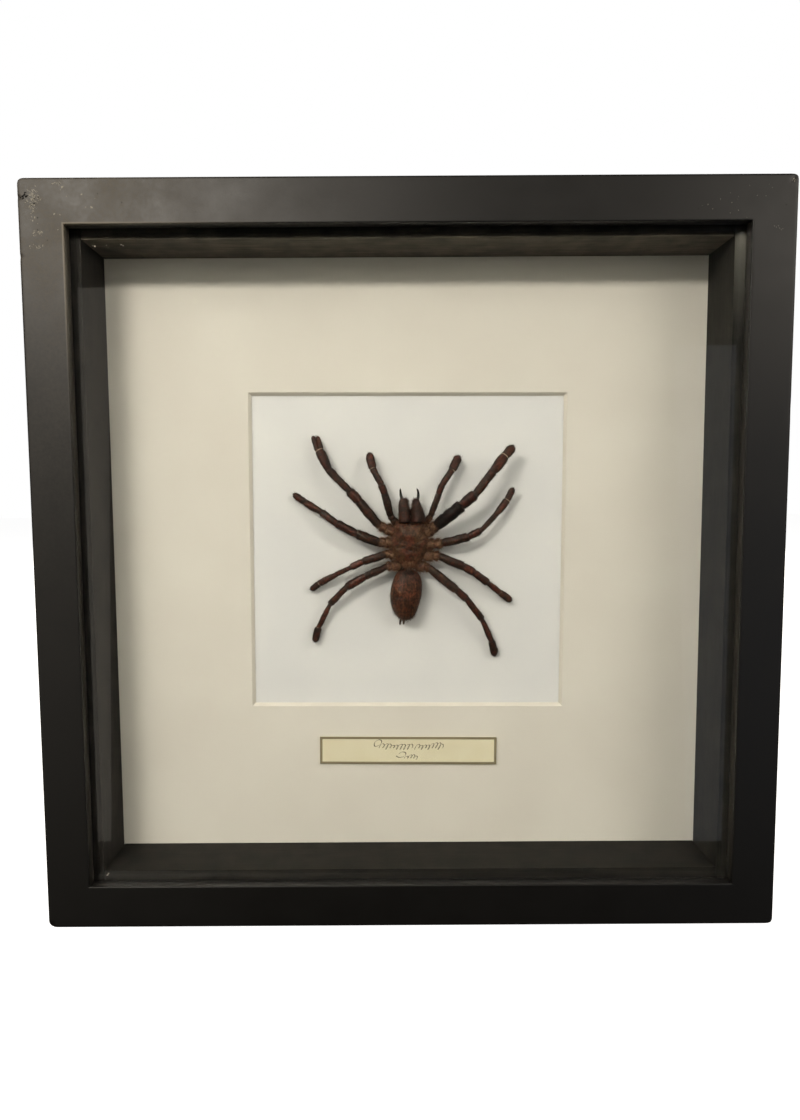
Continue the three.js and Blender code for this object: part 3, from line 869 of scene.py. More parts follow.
AROUND_RIVET = 32
for side in ("left", "right"):
    low, high = (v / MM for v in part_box(f"hanger_rivet_{side}"))
    middle = (low + high) / 2
    top, under = high.y, low.y
    section = [(0.05, under), (0.6, under), (0.6, top - 0.85), (1.65, top - 0.8), (1.7, top - 0.6)]
    section += [(1.7 * math.cos(a), top - 0.6 + 0.6 * math.sin(a)) for a in np.radians([25, 50, 70, 84])]
    section.append((0.05, top))
    turn = np.linspace(0, 2 * math.pi, AROUND_RIVET, endpoint=False)
    corners = np.array([
        (middle.x + r * math.cos(t), y, middle.z + r * math.sin(t)) for r, y in section for t in turn
    ])
    rivet = Piece(f"hanger_rivet_{side}_domed")
    rivet.put(corners * MM, ring_faces(len(section), AROUND_RIVET))
    rivet.make([brass], [f"hanger_rivet_{side}"])

# %% [markdown]
# ## Cuticle, membrane, hair and horn
#
# A spider's skin is cuticle: a hard, slightly glossy shell, dark brown in a dried tarantula,
# with redder stripes where no hair grows. Where two segments meet, a soft membrane shows as
# a thin pale ring. Short fine hair covers nearly everything, brown with a tan bloom, and the
# fangs are polished black horn. Cuticle has an index near 1.56. The two numbers at each
# corner say how red the skin is there, and how pale, or how dark where it is below zero.


# %% Make the animal's finishes
def cuticle(name, dark, red, pale, roughness):
    """Dried skin: redder or darker in clouds, paler or deeper where the mesh says so."""
    made, tree, shader = finish_named(
        name, Roughness=roughness, IOR=1.56, Specular_IOR_Level=0.22,
        Sheen_Weight=0.02, Sheen_Roughness=0.5, Sheen_Tint=linear("#c9b79a"),
    )
    spot = add(tree, "TexCoord").outputs["Object"]
    light = carried(tree, "pale")
    patch = ramp(tree, clouds(tree, spot, 2.2, 5.0, Roughness=0.65), 0.36, 0.64, -0.55, 0.55)
    redness = sums(tree, "ADD", carried(tree, "tone"), patch, use_clamp=True)
    skin = blend(tree, light, blend(tree, redness, dark, red), pale)
    grain = clouds(tree, spot, 0.9, 4.0, Roughness=0.7)
    speck = ramp(tree, grain, 0.36, 0.64, 0.25, 1.75)
    # below zero, pale darkens the skin: the painted shade of the limbs' flanks and creases, the shield's
    # pits and the sack's hollows comes in this way
    shade = sums(tree, "MULTIPLY", speck, ramp(tree, light, -1.0, 0.0, 0.12, 1.0))
    dress(tree, shader, blend(tree, 1.0, skin, shade, blend_type="MULTIPLY"), grain, 0.7, 0.15)
    return made


def hair(name, dark, tan):
    """Short stiff hair: one colour at its darkest, a dusty tan at its lightest."""
    made, tree, shader = finish_named(name, Roughness=0.6, IOR=1.55, Specular_IOR_Level=0.15)
    dress(tree, shader, blend(tree, carried(tree, "tone"), dark, tan))
    return made


limb_skin = cuticle("limb_cuticle_dried", "#281910", "#4e2014", "#6b4f3a", 0.5)
back_skin = cuticle("carapace_cuticle_dried", "#34200f", "#52271a", "#6a4c34", 0.45)
belly_skin = cuticle("abdomen_skin_wrinkled", "#2e1a0f", "#562c1a", "#80603f", 0.48)
membrane = cuticle("joint_membrane_dried", "#34211b", "#5a3a32", "#b09a84", 0.6)
limb_hair = hair("limb_hair_fine", "#1c100a", "#432b1b")
pale_hair = hair("hip_hair_tan", "#4e2f22", "#ab8466")
rear_hair = hair("shield_fringe_hair", "#4a2413", "#8a5c40")
belly_hair = hair("abdomen_hair_fine", "#22140b", "#543a24")
horn, _, _ = finish_named(
    "fang_horn_polished", Base_Color=linear("#0d0b0a"), Roughness=0.22, IOR=1.56, Coat_Weight=0.3
)
print("finishes:", len(bpy.data.materials))

# %% [markdown]
# ## How a limb is built
#
# A spider's leg is a chain of stiff tubes. Each tube is narrow where it enters the one
# before it, swells, and flares a little at its far end, which makes the small steps along
# the outline. So each segment is its own closed loft, a little apart from the next, and a
# short band of membrane bridges the gap. The skin shrank as it dried, so shallow creases run
# along every tube, and two bald reddish stripes run along the top of the outer segments.
#
# The plan of the limbs is the one that the solids were made from: hips, lengths and
# bearings as seen from the front, and heights over the board.

# %% Define the shapes of the segments
SHAPES = {  # widths along a segment, as shares of its greatest width
    "coxa": ([0, 0.1, 0.5, 0.9, 1], [0.8, 0.95, 1.0, 0.97, 0.88]),
    "trochanter": ([0, 0.15, 0.5, 0.9, 1], [0.86, 0.95, 1.0, 0.98, 0.9]),
    "femur": ([0, 0.08, 0.25, 0.5, 0.78, 0.94, 1], [0.8, 0.87, 0.94, 1.0, 0.97, 0.99, 0.93]),
    "patella": ([0, 0.12, 0.35, 0.6, 0.85, 1], [0.84, 0.9, 0.98, 1.0, 1.0, 0.92]),
    "tibia": ([0, 0.1, 0.3, 0.6, 0.88, 0.96, 1], [0.84, 0.88, 0.94, 0.97, 1.02, 1.05, 0.98]),
    "metatarsus": ([0, 0.1, 0.3, 0.6, 0.85, 1], [0.7, 0.77, 0.9, 1.0, 0.97, 0.88]),
    "tarsus": ([0, 0.12, 0.4, 0.7, 0.9, 1], [0.84, 0.94, 1.0, 0.97, 0.82, 0.55]),
}
ORDER = ("coxa", "trochanter", "femur", "patella", "tibia", "metatarsus", "tarsus")
AROUND = 22
print("segment shapes:", len(SHAPES))


def to_board(points):
    """Points in millimetres (x, height over the board, z from the middle) as metres."""
    points = np.asarray(points, float)
    return np.c_[points[:, 0], BOARD_FACE - points[:, 1], points[:, 2] + HALF] * MM


def axes_along(path):
    """Unit vectors along a path, across it, and up towards the viewer."""
    along = np.gradient(path, axis=0)
    along /= np.linalg.norm(along, axis=1)[:, None]
    side = np.cross(along, [0, 1, 0])
    side /= np.linalg.norm(side, axis=1)[:, None]
    return along, side, np.cross(side, along)


def dry_folds(path, seed, around=AROUND):
    """How far the dried skin stands out (+) or has sunk (-): mostly long creases, some knobs."""
    turn = np.linspace(0, 2 * math.pi, around, endpoint=False)
    distance = np.r_[0, np.cumsum(np.linalg.norm(np.diff(path, axis=0), axis=1))]
    grid = np.stack(np.broadcast_arrays(
        2.1 * np.cos(turn)[None], 2.1 * np.sin(turn)[None], 0.32 * distance[:, None]), axis=2)
    long = ripple(grid.reshape(-1, 3), 1.0, seed)
    small = ripple(grid.reshape(-1, 3) * [1.3, 1.3, 3.2], 1.0, seed + 3)
    return (long + 0.7 * small).reshape(len(path), around)


def tube(path, across, lift, creases=0.0, seed=0.0, around=AROUND):
    """Corners of the rings round a path, with half widths across and up, and dry creases."""
    _, side, up = axes_along(path)
    turn = np.linspace(0, 2 * math.pi, around, endpoint=False)
    cos, sin = np.cos(turn), np.sin(turn)
    swell = 1 + creases * dry_folds(path, seed, around) if creases else np.ones((len(path), around))
    rings = (
        path[:, None, :]
        + side[:, None, :] * (across[:, None] * cos * swell)[..., None]
        + up[:, None, :] * (lift[:, None] * sin * swell)[..., None]
    )
    return rings.reshape(-1, 3), np.tile(sin, len(path)), np.tile(cos, len(path))


def rounded_ends(share, cap, nose=None):
    """A factor that closes a tube with round ends, each within a share of its length."""
    near = np.clip(np.minimum(share / cap, (1 - share) / (nose or cap)), 0, 1)
    return np.sqrt(np.clip(1 - (1 - near) ** 2, 0.0004, 1))


# %% [markdown]
# ## Hair
#
# Hair is what makes the animal read as a tarantula, so it is real shape: each hair is a
# closed three-sided spike of seven faces, bent once, rooted a little under the skin. They
# are scattered by area, lean towards the far end of the limb, and vary in length and tone.
# A real leg has several times as many, far finer ones. These are as coarse and as many as it
# takes to give the same bloom along the outline.


# %% Define how hair grows
dice = np.random.default_rng(11)
HAIR_SHARE = 1.0
print("hair share", HAIR_SHARE)


def grow(piece, corners, faces, flow, per_area, length, rise, slot, thick=0.03, keep=None):
    """Scatters spikes over the quads of a closed part given in board millimetres."""
    quads = np.array([f for f in faces if len(f) == 4])
    a, b, c, d = (corners[quads[:, k]] for k in range(4))
    normal = np.cross(c - a, d - b)
    area = np.linalg.norm(normal, axis=1) / 2
    normal /= np.maximum(2 * area, 1e-9)[:, None]
    centre = (a + b + c + d) / 4
    if np.einsum("ij,ij->", (centre - corners.mean(axis=0)) * area[:, None], normal) < 0:
        normal = -normal
    weight = area if keep is None else area * keep(centre, normal)
    count = int(per_area * HAIR_SHARE * weight.sum())
    if count < 1:
        return
    pick = dice.choice(len(quads), count, p=weight / weight.sum())
    u, v = dice.random((2, count, 1))
    root = (1 - u) * (1 - v) * a[pick] + u * (1 - v) * b[pick]
    root = root + u * v * c[pick] + (1 - u) * v * d[pick]
    out = normal[pick]
    flow = np.broadcast_to(flow, (len(quads), 3))[pick] if np.ndim(flow) == 1 else flow[pick]
    lean = rise * (0.7 + 0.6 * dice.random((count, 1)))
    start = out * lean + flow * (1 - rise) + dice.normal(0, 0.2, (count, 3))
    start /= np.linalg.norm(start, axis=1)[:, None]
    end = start + 0.45 * flow
    end /= np.linalg.norm(end, axis=1)[:, None]
    reach = length * (0.55 + 0.9 * dice.random((count, 1)) ** 2)
    middle = root + start * reach * 0.5
    tip = middle + end * reach * 0.5
    p = np.cross(start, dice.normal(size=(count, 3)))
    p /= np.maximum(np.linalg.norm(p, axis=1), 1e-9)[:, None]
    q = np.cross(start, p)
    spikes = np.empty((count, 7, 3))
    for k, turn in enumerate(np.radians([0, 120, 240])):
        aside = p * math.cos(turn) + q * math.sin(turn)
        spikes[:, k] = root - out * 0.04 + aside * thick
        spikes[:, 3 + k] = middle + aside * thick * 0.7
    spikes[:, 6] = tip
    pattern = [[0, 1, 4, 3], [1, 2, 5, 4], [2, 0, 3, 5], [3, 4, 6], [4, 5, 6], [5, 3, 6], [2, 1, 0]]
    starts = np.arange(count) * 7
    faces_made = [[i + s for i in f] for s in starts.tolist() for f in pattern]
    light = dice.random(count) ** 1.6
    piece.put(to_board(spikes.reshape(-1, 3)), faces_made, slot, tone=np.repeat(light, 7))


def upper_side(centre, normal):
    """Thins the hair under the animal, where nobody sees it."""
    return np.where(normal[:, 1] < -0.3, 0.25, 1.0)


# %% [markdown]
# ## Legs and palps
#
# Each limb follows its own plan, because the spread of a set specimen is never quite even.
# The widths are those of the skin alone, as the hair adds its own. The first pair of legs
# has the thick oval ends, and the right one is held well off the board, so that its shadow
# falls clear of it.

# %% Write down the plan of the limbs
PLAN = {
    "pedipalp_left": (
        (-5.3, 16.2), (3.5, 9.5, 4.5, 8, 7), (127, 104, 110, 118, 103), (4.5, 5.5, 7, 7, 5.5, 3.5),
        (3.0, 3.3, 3.1, 2.8, 3.5)),
    "pedipalp_right": (
        (7.6, 15.8), (3.5, 10.5, 4, 8, 7), (49, 70, 71, 55, 63), (4.5, 5.5, 7, 7, 5.5, 3.5),
        (3.0, 2.7, 2.8, 2.8, 3.8)),
    "leg_1_left": (
        (-6.7, 12.4), (6, 13.5, 6.5, 12.5, 9.5, 6.5), (158, 129, 133, 134, 116, 107),
        (5.5, 6, 7.5, 7.5, 6, 4, 3), (4.2, 4.0, 4.2, 3.3, 4.2, 3.9)),
    "leg_2_left": (
        (-7.1, 7.3), (5.5, 10, 10, 8, 8.5, 6.5), (177, 159, 152, 144, 149, 146),
        (5.5, 6, 7.5, 7, 5, 3.2, 2.2), (4.2, 4.3, 3.8, 3.3, 3.2, 3.0)),
    "leg_3_left": (
        (-6.7, 2.3), (3, 10, 6, 7.5, 8.5, 5), (181, 197, 206, 206, 209, 216),
        (5.5, 6, 6.5, 6, 4.5, 3, 2.2), (4.0, 3.6, 3.1, 2.2, 3.0, 2.8)),
    "leg_4_left": (
        (-5.4, -2.8), (3.5, 10.5, 9.5, 10.5, 12, 7), (183, 204, 210, 226, 243, 254),
        (5.5, 6, 7, 6.5, 4.5, 3, 2.2), (4.0, 3.2, 3.7, 2.9, 2.4, 3.2)),
    "leg_1_right": (
        (8.3, 12), (5, 13.5, 7.5, 12, 8.5, 6), (33, 40, 39, 52, 51, 48),
        (5.5, 8, 12.5, 13.5, 12.5, 10.5, 9), (5.0, 5.2, 4.5, 3.7, 4.5, 3.9)),
    "leg_2_right": (
        (9.1, 6.6), (5.5, 12, 6, 9, 8.5, 6), (3, 14, 26, 46, 51, 63),
        (5.5, 6, 7.5, 7.5, 6.5, 5.5, 5), (4.2, 3.8, 3.2, 2.4, 3.1, 2.9)),
    "leg_3_right": (
        (9.1, 1.6), (4.5, 11.5, 5.5, 7.5, 7.5, 6.5), (-3, -23, -31, -37, -39, -37),
        (5.5, 6, 7, 6.5, 5, 3.2, 2.2), (4.2, 3.7, 3.5, 3.3, 2.7, 3.1)),
    "leg_4_right": (
        (6.4, -3.2), (3, 15, 6, 11.5, 11.5, 7), (-13, -39, -41, -53, -66, -76),
        (5.5, 6, 7.5, 7, 5, 3, 2.2), (4.0, 3.8, 3.3, 3.0, 2.6, 3.4)),
}


def joints_of(hip, lengths, bearings, heights):
    """The joints of a limb as (x, height, z), walked from its hip."""
    turns = np.radians(bearings)
    x = hip[0] + np.r_[0, np.cumsum(lengths * np.cos(turns))]
    z = hip[1] + np.r_[0, np.cumsum(lengths * np.sin(turns))]
    return np.c_[x, heights, z]


print("limbs:", len(PLAN))

# %% [markdown]
# ## From joints to a limb
#
# Each limb is walked from its hip, one segment after the other. A segment is a creased tube that arches a
# little, is darker at both rims, has painted shade on its flanks and in its sunk creases and a painted
# highlight on its raised folds, and carries two coats of hair: a short one, and a few long bristles. The
# hips are shaggier and tan. A soft ring bridges every joint, and two small claws end the limb.

# %% Build the limbs
SKIN, SOFT, HAIR, TAN, CLAW = range(5)
LIMB_FINISHES = [limb_skin, membrane, limb_hair, pale_hair, horn]
ARCH = {"femur": 0.9, "tibia": 0.3, "metatarsus": 0.25}  # how far a segment's middle is raised


def segment(piece, start, end, width, kind, seed, redness, paleness, apart=0.0):
    """One tube of a limb between two joints, with its stripes, creases and hair."""
    length = np.linalg.norm(end - start)
    rows = max(12, int(length / 0.36))
    share = (1 - np.cos(np.linspace(0, math.pi, rows))) / 2
    reach = (share * (length + 0.3) - 0.25) / length
    path = start + (end - start) * reach[:, None]
    path += np.cross(end - start, [0, 1, 0]) / length * apart
    path[:, 1] += ARCH.get(kind, 0.1) * np.sin(math.pi * share)
    knobs = ripple(np.c_[share * length / 1.1, share * 0 + seed, share * 0], 1.0, seed + 5)
    nose, flat = (0.95, 0.78) if kind == "tarsus" else (0.25, 0.86)
    ends = rounded_ends(share, 0.25 * width / 2 / length, nose * width / 2 / length)
    half = width / 2 * flowing(*SHAPES[kind], share) * ends
    half *= 1 + 0.1 * knobs
    path += np.cross(end - start, [0, 1, 0]) / length * 0.14 * np.roll(knobs, rows // 3)[:, None]
    bare = kind in ("patella", "tibia", "metatarsus")
    hip = kind in ("coxa", "trochanter")
    corners, top, aside = tube(path, half, half * flat, 0.13 if hip else 0.1, seed)
    fold = dry_folds(path, seed).ravel()
    faces = ring_faces(rows, AROUND)
    stripe = np.exp(-(((np.abs(aside) - 0.34) / 0.16) ** 2)) * (top > 0) if bare else 0.0
    middle = np.exp(-((aside / 0.5) ** 2)) * (top > 0)
    along = np.repeat(np.sin(math.pi * share), AROUND)
    from_end = np.minimum(share, 1 - share) * length
    rim = (-0.3 if hip else -0.75) * np.repeat(np.exp(-((from_end / 0.45) ** 2)), AROUND)
    # painted shade on the flanks and in sunk creases, and a painted highlight on raised folds
    flank_shade_and_fold_highlight = -2.0 * np.clip(np.abs(aside) - 0.62, 0, 1)
    flank_shade_and_fold_highlight += 0.3 * np.clip(fold, 0, 1) - 0.8 * np.clip(-fold - 0.05, 0, 1)
    tone = np.clip(redness * (0.3 + 0.8 * middle) * (0.4 + 0.6 * along) + 0.35 * stripe, 0, 1)
    tint = rim + flank_shade_and_fold_highlight + min(paleness, 0)
    tint = tint + max(paleness, 0) * (0.3 + 0.7 * middle) * (0.75 + 0.5 * fold)
    piece.put(to_board(corners), faces, SKIN, tone=tone, pale=tint)
    flow = (end - start) / length
    coat = TAN if paleness > 0.3 else HAIR
    thin = 0.5 if bare else 1.0
    grow(piece, corners, faces, flow, 9.0 * thin, 0.6, 0.3, coat, 0.026, upper_side)
    shag = 7.0 if coat == TAN else 0.9
    grow(piece, corners, faces, flow, shag, 1.5, 0.55, coat, 0.034, upper_side)


def joint_band(piece, before, at, after, width, paleness, rows=7):
    """The soft ring between two segments."""
    there = (after - before) / np.linalg.norm(after - before)
    share = np.linspace(0, 1, rows)
    path = at + there * ((share - 0.5) * 0.8)[:, None]
    half = width / 2 * 0.9 * rounded_ends(share, 0.3)
    corners, _, _ = tube(path, half, half * 0.88, 0.02, 1.0)
    piece.put(to_board(corners), ring_faces(rows, AROUND), SOFT, tone=0.3, pale=paleness)


def claws(piece, tip, flow, rows=8, around=8):
    """Two small hooked claws at a leg's end."""
    side = np.cross(flow, [0, 1, 0])
    for way in (-1, 1):
        share = np.linspace(0, 1, rows)
        path = tip + flow * (share * 0.75)[:, None] + side * (way * (0.25 + 0.15 * share))[:, None]
        path[:, 1] -= 0.55 * share**2
        half = 0.13 * (1 - 0.85 * share)
        corners, _, _ = tube(path, half, half, around=around)
        piece.put(to_board(corners), ring_faces(rows, around), CLAW)


REDNESS = {"femur": 0.12, "patella": 0.8, "tibia": 0.3, "metatarsus": 0.7, "tarsus": 0.4}
HIP_TINT = {  # how red and how tan the coxa and the trochanter are
    "leg_1_left": (0.9, 0.6), "leg_2_left": (1.0, 1.1), "leg_3_left": (0.7, 1.25),
    "leg_4_left": (0.8, 0.5), "leg_1_right": (0.5, 1.3), "leg_2_right": (0.9, 0.95),
    "leg_3_right": (0.8, 1.1), "leg_4_right": (0.9, 0.5),
    "pedipalp_left": (0.2, 0.2), "pedipalp_right": (0.2, 0.45),
}
DARKER = {  # segments that are darker than the rest
    ("leg_1_right", "femur"): -0.9, ("leg_1_right", "patella"): -0.35,
    ("leg_1_left", "femur"): -0.1, ("leg_1_left", "patella"): -0.25,
    ("leg_1_left", "tibia"): -0.2, ("leg_1_left", "metatarsus"): -0.45,
    ("leg_2_left", "patella"): -0.5, ("leg_2_left", "tibia"): -0.15,
    ("pedipalp_left", "femur"): -0.25,
}
# How far a limb starts inside the body.
INSET = {"pedipalp_left": 1.2, "pedipalp_right": 1.2, "leg_4_left": 2.6, "leg_4_right": 2.8}
for number, (name, (hip, lengths, bearings, heights, widths)) in enumerate(PLAN.items()):
    points = joints_of(hip, np.array(lengths, float), bearings, heights)
    out = (points[1] - points[0]) / np.linalg.norm(points[1] - points[0])
    inner = points[0] - out * INSET.get(name, 2.2)
    split = points[0] + (points[1] - points[0]) * 0.5
    points = np.concatenate([[inner, split], points[1:]])
    widths = (widths[0] * 1.12, widths[0] * 0.98, *widths[1:])
    kinds = [k for k in ORDER if len(lengths) == 6 or k != "metatarsus"]
    limb = Piece(f"{name}_haired")
    for k, kind in enumerate(kinds):
        red, tan = HIP_TINT[name] if k < 2 else (REDNESS[kind], DARKER.get((name, kind), 0.0))
        if kind == "tarsus" and len(lengths) == 5:
            red = 0.8
        if name == "leg_1_left" and kind == "tarsus":  # its pad is split in two
            for apart, reach in ((-0.9, 0.94), (0.9, 1.04)):
                end = points[k] + (points[k + 1] - points[k]) * reach
                segment(limb, points[k], end, 2.15, kind, 60 + reach, red, tan, apart)
        else:
            segment(limb, points[k], points[k + 1], widths[k], kind, number * 7.0 + k, red, tan)
        if k:
            narrow = min(widths[k - 1], widths[k])
            ringed = kind == "tarsus" and name not in ("leg_2_left", "leg_4_right")
            joint_band(limb, points[k - 1], points[k], points[k + 1], narrow, 0.8 if ringed else -0.3)
    flow = (points[-1] - points[-2]) / np.linalg.norm(points[-1] - points[-2])
    claws(limb, points[-1] - flow * 0.25, flow)
    limb.make(LIMB_FINISHES, [name])

# %% [markdown]
# ## Carapace
#
# The front half of the body carries a shield: a low dome with a raised head part in front,
# a short deep pit near its middle where the sucking stomach's muscles pull, and grooves that
# run out from it towards the hips. A little mound at the front edge holds eight tiny eyes.
# The dome is a height over a plan in rings and spokes, so pit, grooves and mound are plain
# sums of bumps, and a bowl closes it below.

# %% Build the carapace
SHIELD = {"x": 0.8, "z": 6.3, "rim": 6.9, "rise": 3.6, "floor": 2.0}
OUTLINE = [  # x and z from the shield's middle, round from the right side
    (8.0, 0.6), (8.0, 3.0), (7.2, 5.8), (6.6, 8.0), (6.3, 10.0), (4.2, 10.5), (0.2, 9.9),
    (-3.6, 10.4), (-5.8, 10.2), (-6.3, 8.0), (-7.2, 5.4), (-8.1, 2.8), (-8.3, 0.8), (-7.9, -1.8),
    (-7.1, -4.2), (-6.5, -6.4), (-4.2, -8.3), (-1.5, -9.0), (2.0, -8.9), (4.6, -7.6),
    (6.2, -5.4), (7.2, -3.0), (7.9, -1.0),
]
GROOVES = (  # which way each groove runs from the middle
    -0.72, -0.2, 0.33, math.pi + 0.72, math.pi + 0.2, math.pi - 0.33, -1.15, math.pi + 1.15,
)
MUSCLE_PITS = ((-4.9, -4.9), (3.6, -3.8), (0.05, -4.9), (-5.3, 0.1), (2.6, -0.6), (-2.6, -0.8))
SPOKES, RINGS_ABOVE, RINGS_BELOW = 108, 44, 10
plan = np.array(OUTLINE)
bearing = np.arctan2(plan[:, 1], plan[:, 0])
order = np.argsort(bearing)
bearing, reach = bearing[order], np.hypot(*plan.T)[order]
spokes = np.linspace(-math.pi, math.pi, SPOKES, endpoint=False)
wrapped = np.r_[bearing[-3:] - 2 * math.pi, bearing, bearing[:3] + 2 * math.pi]
edge = flowing(wrapped, np.r_[reach[-3:], reach, reach[:3]], spokes)


def bump_at(x, z, cx, cz, wx, wz):
    """A soft bump of height 1 round a spot, with its own half width each way."""
    return np.exp(-(((x - cx) / wx) ** 2) - ((z - cz) / wz) ** 2)


def shield_height(x, z, share, turn):
    """How far the shield rises over its rim: dome, head, grooves, pits and the eyes' mound."""
    dome = (1 - share**2.6) ** 0.75
    head = 0.9 * (1 / (1 + np.exp(-(z - 3.0) * 1.6))) * np.exp(-((x / 4.6) ** 4)) * (1 - share**4)
    groove = 0.0
    for spoke in GROOVES:
        gap = np.angle(np.exp(1j * (turn - spoke)))
        line = np.exp(-((gap / 0.085) ** 2)) * np.clip((share - 0.12) * 4, 0, 1)
        groove = groove + line * np.clip((0.92 - share) * 5, 0, 1)
    pit = 0.55 * bump_at(x, z, 0.2, -2.15, 0.5, 0.3) + 0.25 * bump_at(x, z, 0.1, -2.0, 1.8, 1.4)
    for px, pz in MUSCLE_PITS:
        pit = pit + 0.3 * bump_at(x, z, px, pz, 0.4, 0.3)
    mound = 0.95 * bump_at(x, z, 0.3, 8.7, 1.15, 0.75)
    return SHIELD["rise"] * dome + head - 0.12 * groove - pit + mound


top_share = np.linspace(0.02, 1, RINGS_ABOVE) ** 0.8
shares = np.r_[top_share, 1.0 - np.linspace(0, 1, RINGS_BELOW + 1)[1:] * 0.98]
below = np.r_[np.zeros(RINGS_ABOVE, bool), np.ones(RINGS_BELOW, bool)]
share_grid = np.repeat(shares, SPOKES)
turn_grid = np.tile(spokes, len(shares))
x = share_grid * np.tile(edge, len(shares)) * np.cos(turn_grid)
z = share_grid * np.tile(edge, len(shares)) * np.sin(turn_grid)
height = np.where(
    np.repeat(below, SPOKES),
    SHIELD["floor"] + (SHIELD["rim"] - SHIELD["floor"]) * share_grid**3,
    SHIELD["rim"] + shield_height(x, z, share_grid, turn_grid),
)
skin = np.c_[x + SHIELD["x"], height, z + SHIELD["z"]]
flat_plan = np.c_[x, z, height * 0]
lumps = 0.2 * ripple(flat_plan, 1.9, 4.0) + 0.1 * ripple(flat_plan, 0.8, 5.0)
skin[:, 1] += lumps * ~np.repeat(below, SPOKES)
red = np.clip(0.5 + 0.25 * ripple(flat_plan, 3.4, 9.0), 0, 1)
olive = bump_at(x, z, -5.4, -4.0, 2.6, 3.4) + bump_at(x, z, 5.6, -4.4, 2.4, 2.6)
olive = olive + bump_at(x, z, 4.2, 4.4, 2.2, 2.6)
spoke_grid = np.c_[5.5 * np.cos(turn_grid), 5.5 * np.sin(turn_grid), 1.6 * share_grid]
streak = ripple(spoke_grid, 1.0, 12.0)
red = np.clip(red + 0.3 * streak, 0, 1)
fork = bump_at(x, z, 0.3, 6.8, 0.35, 1.6) + bump_at(x, z, 0.3, 8.3, 2.2, 0.3)
fork = fork + bump_at(x, z, -3.2, 6.6, 0.4, 1.2)
rays = np.clip(ripple(spoke_grid, 1.0, 15.0), 0, 1) * (share_grid > 0.25)
bloom = 0.3 * olive + 0.35 * fork + 0.25 * rays
# painted shade: the central pit and the muscle pits sunk in the dome are painted darker; the dark streaks
# are the skin's own
pit_shade = bump_at(x, z, 0.2, -2.15, 0.6, 0.4) + 0.25 * bump_at(x, z, 0.3, -1.8, 3.2, 2.6)
for px, pz in MUSCLE_PITS:
    pit_shade = pit_shade + 0.8 * bump_at(x, z, px, pz, 0.55, 0.4)
dark_marks_and_shade = 0.8 * pit_shade + 0.5 * np.clip(streak - 0.15, 0, 1) * (share_grid > 0.3)
bloom = np.clip(bloom, 0, 1) - np.clip(dark_marks_and_shade, 0, 1)
bloom = bloom - 0.45 * np.clip((share_grid - 0.93) / 0.07, 0, 1)
carapace = Piece("carapace_haired")
shield_faces = ring_faces(len(shares), SPOKES)
carapace.put(to_board(skin), shield_faces, 0, tone=np.clip(red - 0.6 * olive, 0, 1), pale=bloom)


def up_and_out(corners, faces):
    """Hair on the shield points away from its pit, and back along its edge."""
    quads = np.array([f for f in faces if len(f) == 4])
    centre = corners[quads].mean(axis=1)
    away = centre - [SHIELD["x"], centre[:, 1].mean(), SHIELD["z"] - 2.0]
    away[:, 1] = 0.2
    return away / np.linalg.norm(away, axis=1)[:, None]


flow = up_and_out(skin, shield_faces)
grow(carapace, skin, shield_faces, flow, 9.0, 0.5, 0.16, 1, 0.024, upper_side)


def at_the_edge(centre, normal):
    """Only round the shield's edge, and thinner in front."""
    far = np.hypot((centre[:, 0] - SHIELD["x"]) / 8.2, (centre[:, 2] - SHIELD["z"]) / 9.8)
    return (far > 0.86) * (normal[:, 1] > -0.4) * np.where(centre[:, 2] < 2, 1.0, 0.45)


grow(carapace, skin, shield_faces, flow, 7.0, 1.6, 0.3, 2, 0.03, at_the_edge)


def at_the_rear(centre, normal):
    """Only at the shield's rear edge, over the waist."""
    rearmost = centre[:, 2] < SHIELD["z"] - 6.6
    return rearmost * (np.abs(centre[:, 0] - 0.6) < 3.1) * (centre[:, 1] > 4.0)


grow(carapace, skin, shield_faces, np.array([0, 0.0, -1.0]), 16.0, 2.0, 0.35, 4, 0.04, at_the_rear)
grow(carapace, skin, shield_faces, np.array([0, 0.2, -1.0]), 8.0, 3.0, 0.35, 2, 0.035, at_the_rear)
EYES = [  # x and z from the shield's middle, and radius
    (-0.45, 9.15, 0.24), (0.95, 9.15, 0.24), (-0.75, 8.55, 0.17), (1.3, 8.55, 0.17),
    (-0.2, 8.5, 0.12), (0.75, 8.5, 0.12), (-0.9, 9.0, 0.15), (1.45, 9.0, 0.15),
]
EYE_ROWS, EYE_AROUND = 9, 12
MOUND_SHARE, MOUND_TURN = 0.86, 1.57  # where the eyes' mound lies, out along the front spoke
turn = np.linspace(0, math.pi, EYE_ROWS)
ring = np.linspace(0, 2 * math.pi, EYE_AROUND, endpoint=False)
circle = np.c_[np.cos(ring), np.zeros(EYE_AROUND), np.sin(ring)]
for ex, ez, size in EYES:
    here = [np.array([v]) for v in (ex, ez, MOUND_SHARE, MOUND_TURN)]
    lift = SHIELD["rim"] + shield_height(*here)[0]
    tall = lift + 0.05 - size * np.cos(turn)
    path = np.c_[np.full(EYE_ROWS, ex + SHIELD["x"]), tall, np.full(EYE_ROWS, ez + SHIELD["z"])]
    half = np.maximum(size * np.sin(turn), 0.01)
    corners = np.concatenate([p + h * circle for p, h in zip(path, half)])
    carapace.put(to_board(corners), ring_faces(EYE_ROWS, EYE_AROUND), 3)
carapace.make([back_skin, limb_hair, pale_hair, horn, rear_hair], ["carapace"])

# %% [markdown]
# ## Abdomen and spinnerets
#
# The abdomen is a soft sack, and as it dried it sank in long folds, with a knot of pale, shrivelled skin
# on the left and a hollow under it. The hollow, the crease beside it and the dip at the waist are painted
# darker as painted shade. It is lofted along the body with its two outlines drawn separately, and the
# folds are noise drawn out along its length. Two thin spinnerets stand out behind.

